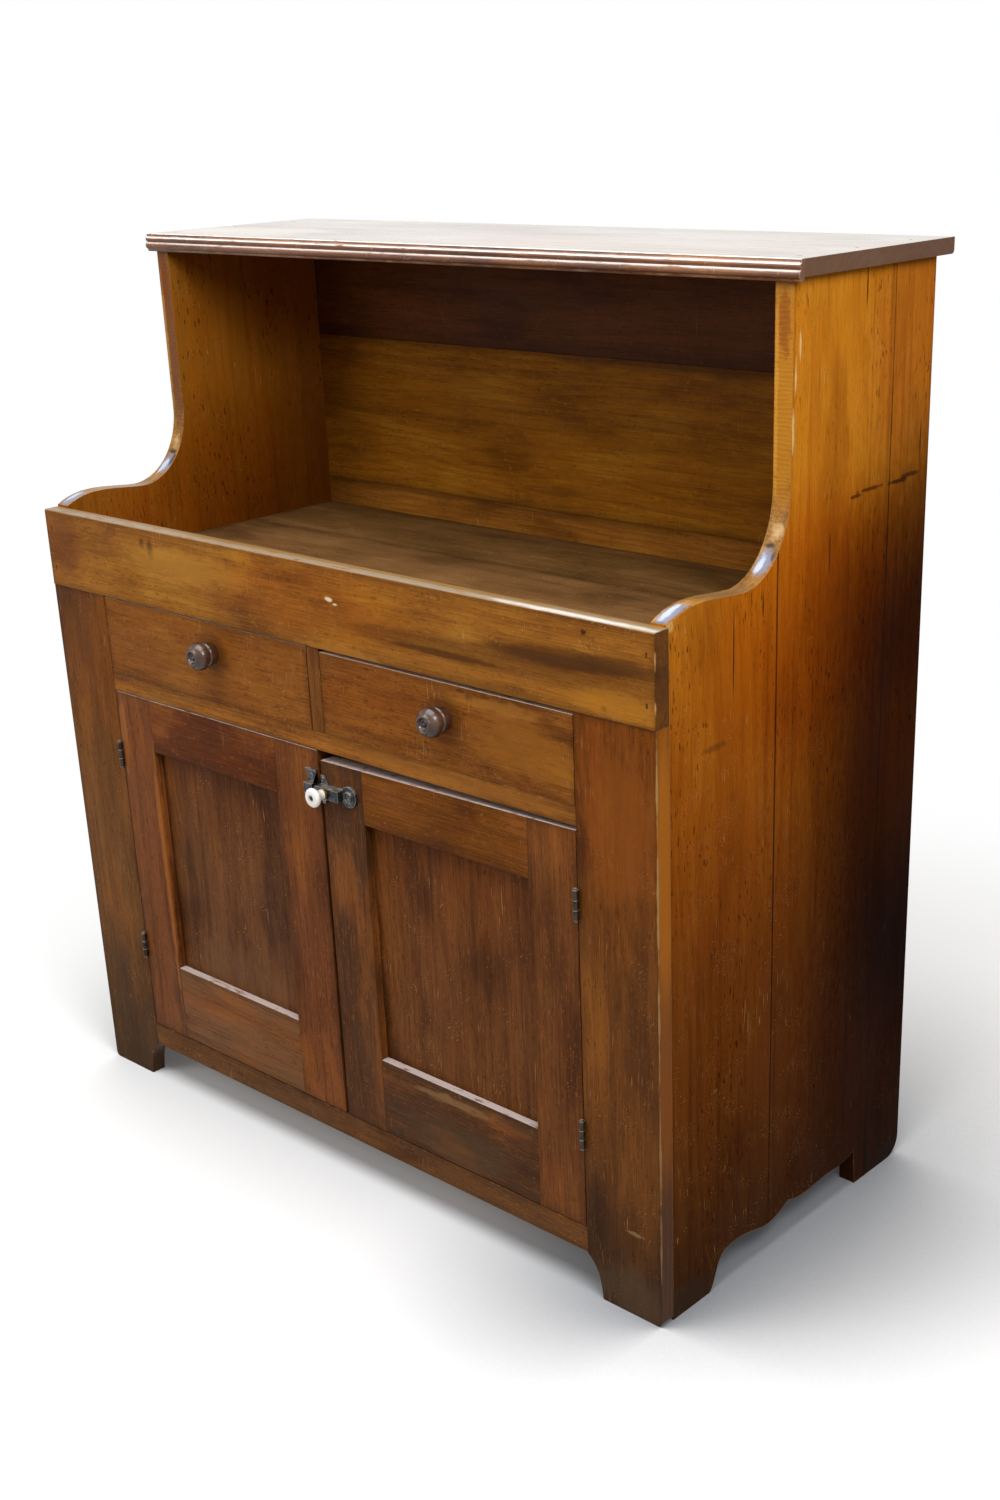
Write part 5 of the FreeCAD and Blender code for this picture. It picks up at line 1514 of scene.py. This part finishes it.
    def drawer_framing(self) -> None:
        """Dress the cleats, runners and rails that are out of sight."""
        for i, node in enumerate(("side_cleats", "outer_drawer_runners", "centre_drawer_runner",
                                  "drawer_kickers")):
            dress(node, replace(BARE_PINE, seed=20.0 + i), radius=0.8)
        for i, node in enumerate(("sink_front_cleat", "drawer_rear_rail")):
            dress(node, replace(BARE_PINE, grain=Grain.FLAT, seed=25.0 + i), radius=0.8)


@dataclass
class Drawer:
    """One drawer with its dovetailed front, its box and its turned knob.

    Attributes:
        side: "left" or "right".
        knob: The knob's place across and up the cabinet.
        spots: Marks on its front.
        seed: Number that makes its figure its own.
    """

    side: str
    knob: tuple[float, float]
    spots: tuple[Spot, ...] = ()
    seed: float = 1.0

    def build(self) -> None:
        """Dress the drawer's boards and turn its knob."""
        x, z = self.knob
        halo = (Spot((x, 0.0, z), (40.0, 20.0, 32.0), "#4a270e", 0.55, 0.8),)
        body = self.side + "_drawer"
        dress(body + "_front", replace(DRAWER, spots=halo + self.spots, seed=self.seed), radius=1.4)
        dress(body + "_sides", replace(BARE_PINE, seed=self.seed + 1), radius=0)
        dress(body + "_back", replace(BARE_PINE, grain=Grain.ACROSS_FRONT, seed=self.seed + 2), radius=0.8)
        dress(body + "_bottom", replace(BARE_PINE, grain=Grain.FLAT, seed=self.seed + 3), radius=0)
        DrawerKnob(body + "_knob", body, x, z).build()


@dataclass
class Door:
    """One panelled door.

    Attributes:
        side: "left" or "right".
        tones: Base colours of the hinge stile, lock stile, top rail, bottom rail and panel.
        marks: Local marks of those pieces.
        seed: Number that makes its figure its own.
    """

    side: str
    tones: dict[str, str]
    marks: dict[str, tuple[Spot, ...]] = field(default_factory=dict)
    seed: float = 1.0

    def build(self) -> None:
        """Dress the door's stiles, rails and panel."""
        for i, part in enumerate(("hinge_stile", "lock_stile", "top_rail", "bottom_rail")):
            grain = Grain.UPRIGHT if part.endswith("stile") else Grain.ACROSS_FRONT
            finish = replace(DOOR, grain=grain, base=self.tones[part], spots=self.marks.get(part, ()),
                             seed=self.seed + i)
            dress(f"{self.side}_door_{part}", finish, radius=1.2)
        dress(self.side + "_door_panel", replace(PANEL, base=self.tones["panel"],
                                                   spots=self.marks.get("panel", ()), seed=self.seed + 5),
              radius=0)


@dataclass
class Studio:
    """The pale floor, the soft light and the camera.

    Attributes:
        camera: The camera's place in metres of the frame.
        yaw: Turn of the view about the upright, in radians.
        pitch: Tilt of the view.
        roll: Roll of the view.
        sensor: Width of the camera's sensor.
        lens: Focal length.
        shift: Shift of the view across and up.
        floor_size: Half the floor's width in metres.
        floor_tone: The floor's colour.
        shadow_tone: Its colour in the hollow close to the cabinet.
        bounce_tone: The tone with which it lights the cabinet from below.
        hollow_way: The way to the cabinet from the floor of the hollow beside it.
        patch: Middle of the patch of floor that shows the shadow, in metres of the frame.
        patch_rim: Distances from it at which the floor starts to turn white and is all white.
    """

    camera: tuple[float, float, float] = (1.7396, -1.7145, 1.4030)
    yaw: float = 0.7447193
    pitch: float = -0.3835154
    roll: float = -0.0335649
    sensor: float = 36.0
    lens: float = 44.62
    shift: tuple[float, float] = (-0.0324, 0.0604)
    floor_size: float = 14.0
    floor_tone: str = "#f7f7f7"
    shadow_tone: str = "#898c91"
    bounce_tone: str = "#b4b0aa"
    hollow_way: tuple[float, float, float] = (-0.74, -0.46, 0.49)
    patch: tuple[float, float, float] = (0.15, 0.05, 0.0)
    patch_rim: tuple[float, float] = (0.75, 1.5)

    def build(self) -> None:
        """Set up everything round the cabinet."""
        self.aim_camera()
        self.lay_floor()
        self.light_world()
        self.hang("overhead_softbox", (0.0, -0.6, 3.0), (0.0, 0.0, 0.6), 2.2, 80.0)
        self.hang("front_softbox", (-1.6, -2.8, 2.2), (0.0, 0.0, 0.8), 1.6, 36.0)
        self.hang("side_softbox", (1.7, -0.8, 2.0), (0.55, 0.0, 1.0), 0.8, 26.0)
        view = bpy.context.scene.view_settings
        view.view_transform = "Standard"

    def aim_camera(self) -> None:
        """Place the camera."""
        right = Vector((math.cos(self.yaw), math.sin(self.yaw), 0.0))
        ahead = Vector((-math.sin(self.yaw) * math.cos(self.pitch), math.cos(self.yaw) * math.cos(self.pitch),
                        math.sin(self.pitch)))
        up = right.cross(ahead)
        level = Matrix((right, up, -ahead)).transposed()
        data = bpy.data.cameras.new("camera")
        data.sensor_width = self.sensor
        data.sensor_fit = "AUTO"
        data.lens = self.lens
        data.shift_x, data.shift_y = self.shift
        camera = bpy.data.objects.new("camera", data)
        camera.matrix_world = (Matrix.Translation(self.camera) @ level.to_4x4()
                               @ Matrix.Rotation(self.roll, 4, "Z"))
        bpy.context.scene.collection.objects.link(camera)
        bpy.context.scene.camera = camera

    def lay_floor(self) -> None:
        """Lay the floor, white to the camera beyond the cabinet's soft shadow."""
        shell = bmesh.new()
        s = self.floor_size
        shell.faces.new([shell.verts.new(c) for c in ((-s, -s, 0), (s, -s, 0), (s, s, 0), (-s, s, 0))])
        mesh = bpy.data.meshes.new("floor")
        shell.to_mesh(mesh)
        shell.free()
        floor = bpy.data.objects.new("floor", mesh)
        bpy.context.scene.collection.objects.link(floor)
        g = Graph(bpy.data.materials.new("studio_floor_paper"))
        place = g.add(COORDINATES, out="Object")
        # Painted shadow: the paper's colour turns cool grey in the hollow beside and under the cabinet, as
        # ambient occlusion finds it, more strongly to the right.
        near = g.add("ShaderNodeAmbientOcclusion", {"Distance": 0.6, "Normal": self.hollow_way}, out=1,
                     samples=12)
        across = g.add(SPLIT, {0: place}).node.outputs[0]
        share = g.add(RANGE, {0: across, 1: 0.1, 2: 0.55, 3: 0.42, 4: 1.0}, interpolation_type=SOFT)
        hollow = g.add(MATH, {0: g.add(RANGE, {0: near, 1: 1.0, 2: 0.52}), 1: share}, operation="MULTIPLY")
        tone = g.add(MIX, {0: hollow, MIX_A: linear(self.floor_tone), MIX_B: linear(self.shadow_tone)},
                     out=MIX_OUT, data_type="RGBA")
        paper = g.add("ShaderNodeBsdfDiffuse", {"Color": tone})
        shade = g.add("ShaderNodeBsdfDiffuse", {"Color": linear(self.bounce_tone)})
        lift = g.add("ShaderNodeEmission", {"Color": tone, "Strength": 0.12})
        lifted = g.add("ShaderNodeAddShader", {0: paper, 1: lift})
        white = g.add("ShaderNodeEmission", {"Strength": 1.0})
        offset = g.add(VECTOR, {0: place, 1: self.patch}, operation="SUBTRACT")
        radius = g.add(VECTOR, {0: offset}, out=1, operation="LENGTH")
        far = g.add(RANGE, {0: radius, 1: self.patch_rim[0], 2: self.patch_rim[1]}, interpolation_type=SOFT)
        seen = g.add("ShaderNodeMixShader", {0: far, 1: lifted, 2: white})
        path = g.add("ShaderNodeLightPath").node.outputs
        shiny = g.add(MATH, {0: path["Is Glossy Ray"], 1: path["Is Transmission Ray"]}, operation="MAXIMUM")
        other = g.add("ShaderNodeMixShader", {0: shiny, 1: shade, 2: white})
        surface = g.add("ShaderNodeMixShader", {0: path["Is Camera Ray"], 1: other, 2: seen})
        g.add("ShaderNodeOutputMaterial", {"Surface": surface})
        put(floor, g.owner)

    def light_world(self) -> None:
        """Light the room softly, and show it white to the camera and to shiny pieces."""
        world = bpy.data.worlds.new("studio")
        bpy.context.scene.world = world
        g = Graph(world)
        path = g.add("ShaderNodeLightPath").node.outputs
        seen = g.add(MATH, {0: path["Is Camera Ray"], 1: path["Is Glossy Ray"]}, operation="MAXIMUM")
        seen = g.add(MATH, {0: seen, 1: path["Is Transmission Ray"]}, operation="MAXIMUM")
        soft = g.add("ShaderNodeBackground", {"Color": (1.0, 0.97, 0.93, 1.0), "Strength": 0.3})
        white = g.add("ShaderNodeBackground", {"Color": (1.0, 1.0, 1.0, 1.0), "Strength": 1.0})
        surface = g.add("ShaderNodeMixShader", {0: seen, 1: soft, 2: white})
        g.add("ShaderNodeOutputWorld", {"Surface": surface})

    @staticmethod
    def hang(name: str, place: tuple[float, float, float], target: tuple[float, float, float],
             size: float, power: float) -> None:
        """Hang a square softbox.

        Args:
            name: The lamp's name.
            place: Its place in metres of the frame.
            target: The point that it faces.
            size: Its width in metres.
            power: Its power in watts.
        """
        data = bpy.data.lights.new(name, "AREA")
        data.shape = "SQUARE"
        data.size = size
        data.energy = power
        lamp = bpy.data.objects.new(name, data)
        lamp.location = place
        lamp.rotation_euler = (Vector(target) - Vector(place)).to_track_quat("-Z", "Y").to_euler()
        lamp.visible_camera = False
        bpy.context.scene.collection.objects.link(lamp)


def main() -> None:
    """Build the cabinet's sub-assemblies in order, then the room round them."""
    logging.basicConfig(level=logging.INFO, format="%(message)s")
    Case().build()
    Drawer("left", (-203.0, 724.0), seed=31.0).build()
    smudge = (Spot((275.0, 0.0, 752.0), (9.0, 20.0, 5.0), "#2a1408", 0.75, 1.4),
              Spot((262.0, 0.0, 757.0), (9.0, 20.0, 3.0), "#2a1408", 0.6, 1.4),
              Spot((330.0, 0.0, 748.0), (100.0, 20.0, 12.0), "#a8702c", 0.4, 1.2),
              Spot((355.0, 0.0, 705.0), (100.0, 20.0, 46.0), "#8e5a1c", 0.5, 0.9),
              Spot((110.0, 0.0, 710.0), (130.0, 20.0, 60.0), "#f0e4da", 1.0, 0.5, Lay.TINT))
    Drawer("right", (231.0, 718.5), smudge, seed=41.0).build()
    lit_arris = (Spot((-362.0, 0.0, 340.0), (8.0, 8.0, 260.0), "#a5622a", 0.6, 0.8),
                 Spot((-428.0, 0.0, 560.0), (10.0, 20.0, 70.0), "#a86a38", 0.4, 1.2))
    scuffed = (Spot((200.0, 0.0, 190.0), (70.0, 20.0, 7.0), "#93704a", 0.5, 1.6),
               Spot((230.0, 0.0, 130.0), (110.0, 20.0, 40.0), "#4c3824", 0.6, 1.2))
    warm = (Spot((-225.0, 12.0, 230.0), (110.0, 30.0, 70.0), "#6c4a30", 0.5, 1.2),)
    Door("left", {"hinge_stile": "#774522", "lock_stile": "#6c3c1c", "top_rail": "#562706",
                  "bottom_rail": "#765030", "panel": "#684022"},
         {"hinge_stile": lit_arris, "panel": warm}, seed=51.0).build()
    Door("right", {"hinge_stile": "#6a3e1b", "lock_stile": "#4d3019", "top_rail": "#703f0a",
                   "bottom_rail": "#4a311c", "panel": "#6c3f1c"},
         {"bottom_rail": scuffed}, seed=61.0).build()
    Hinges().build()
    Latch().build()
    Studio().build()


if __name__ == "__main__":
    main()
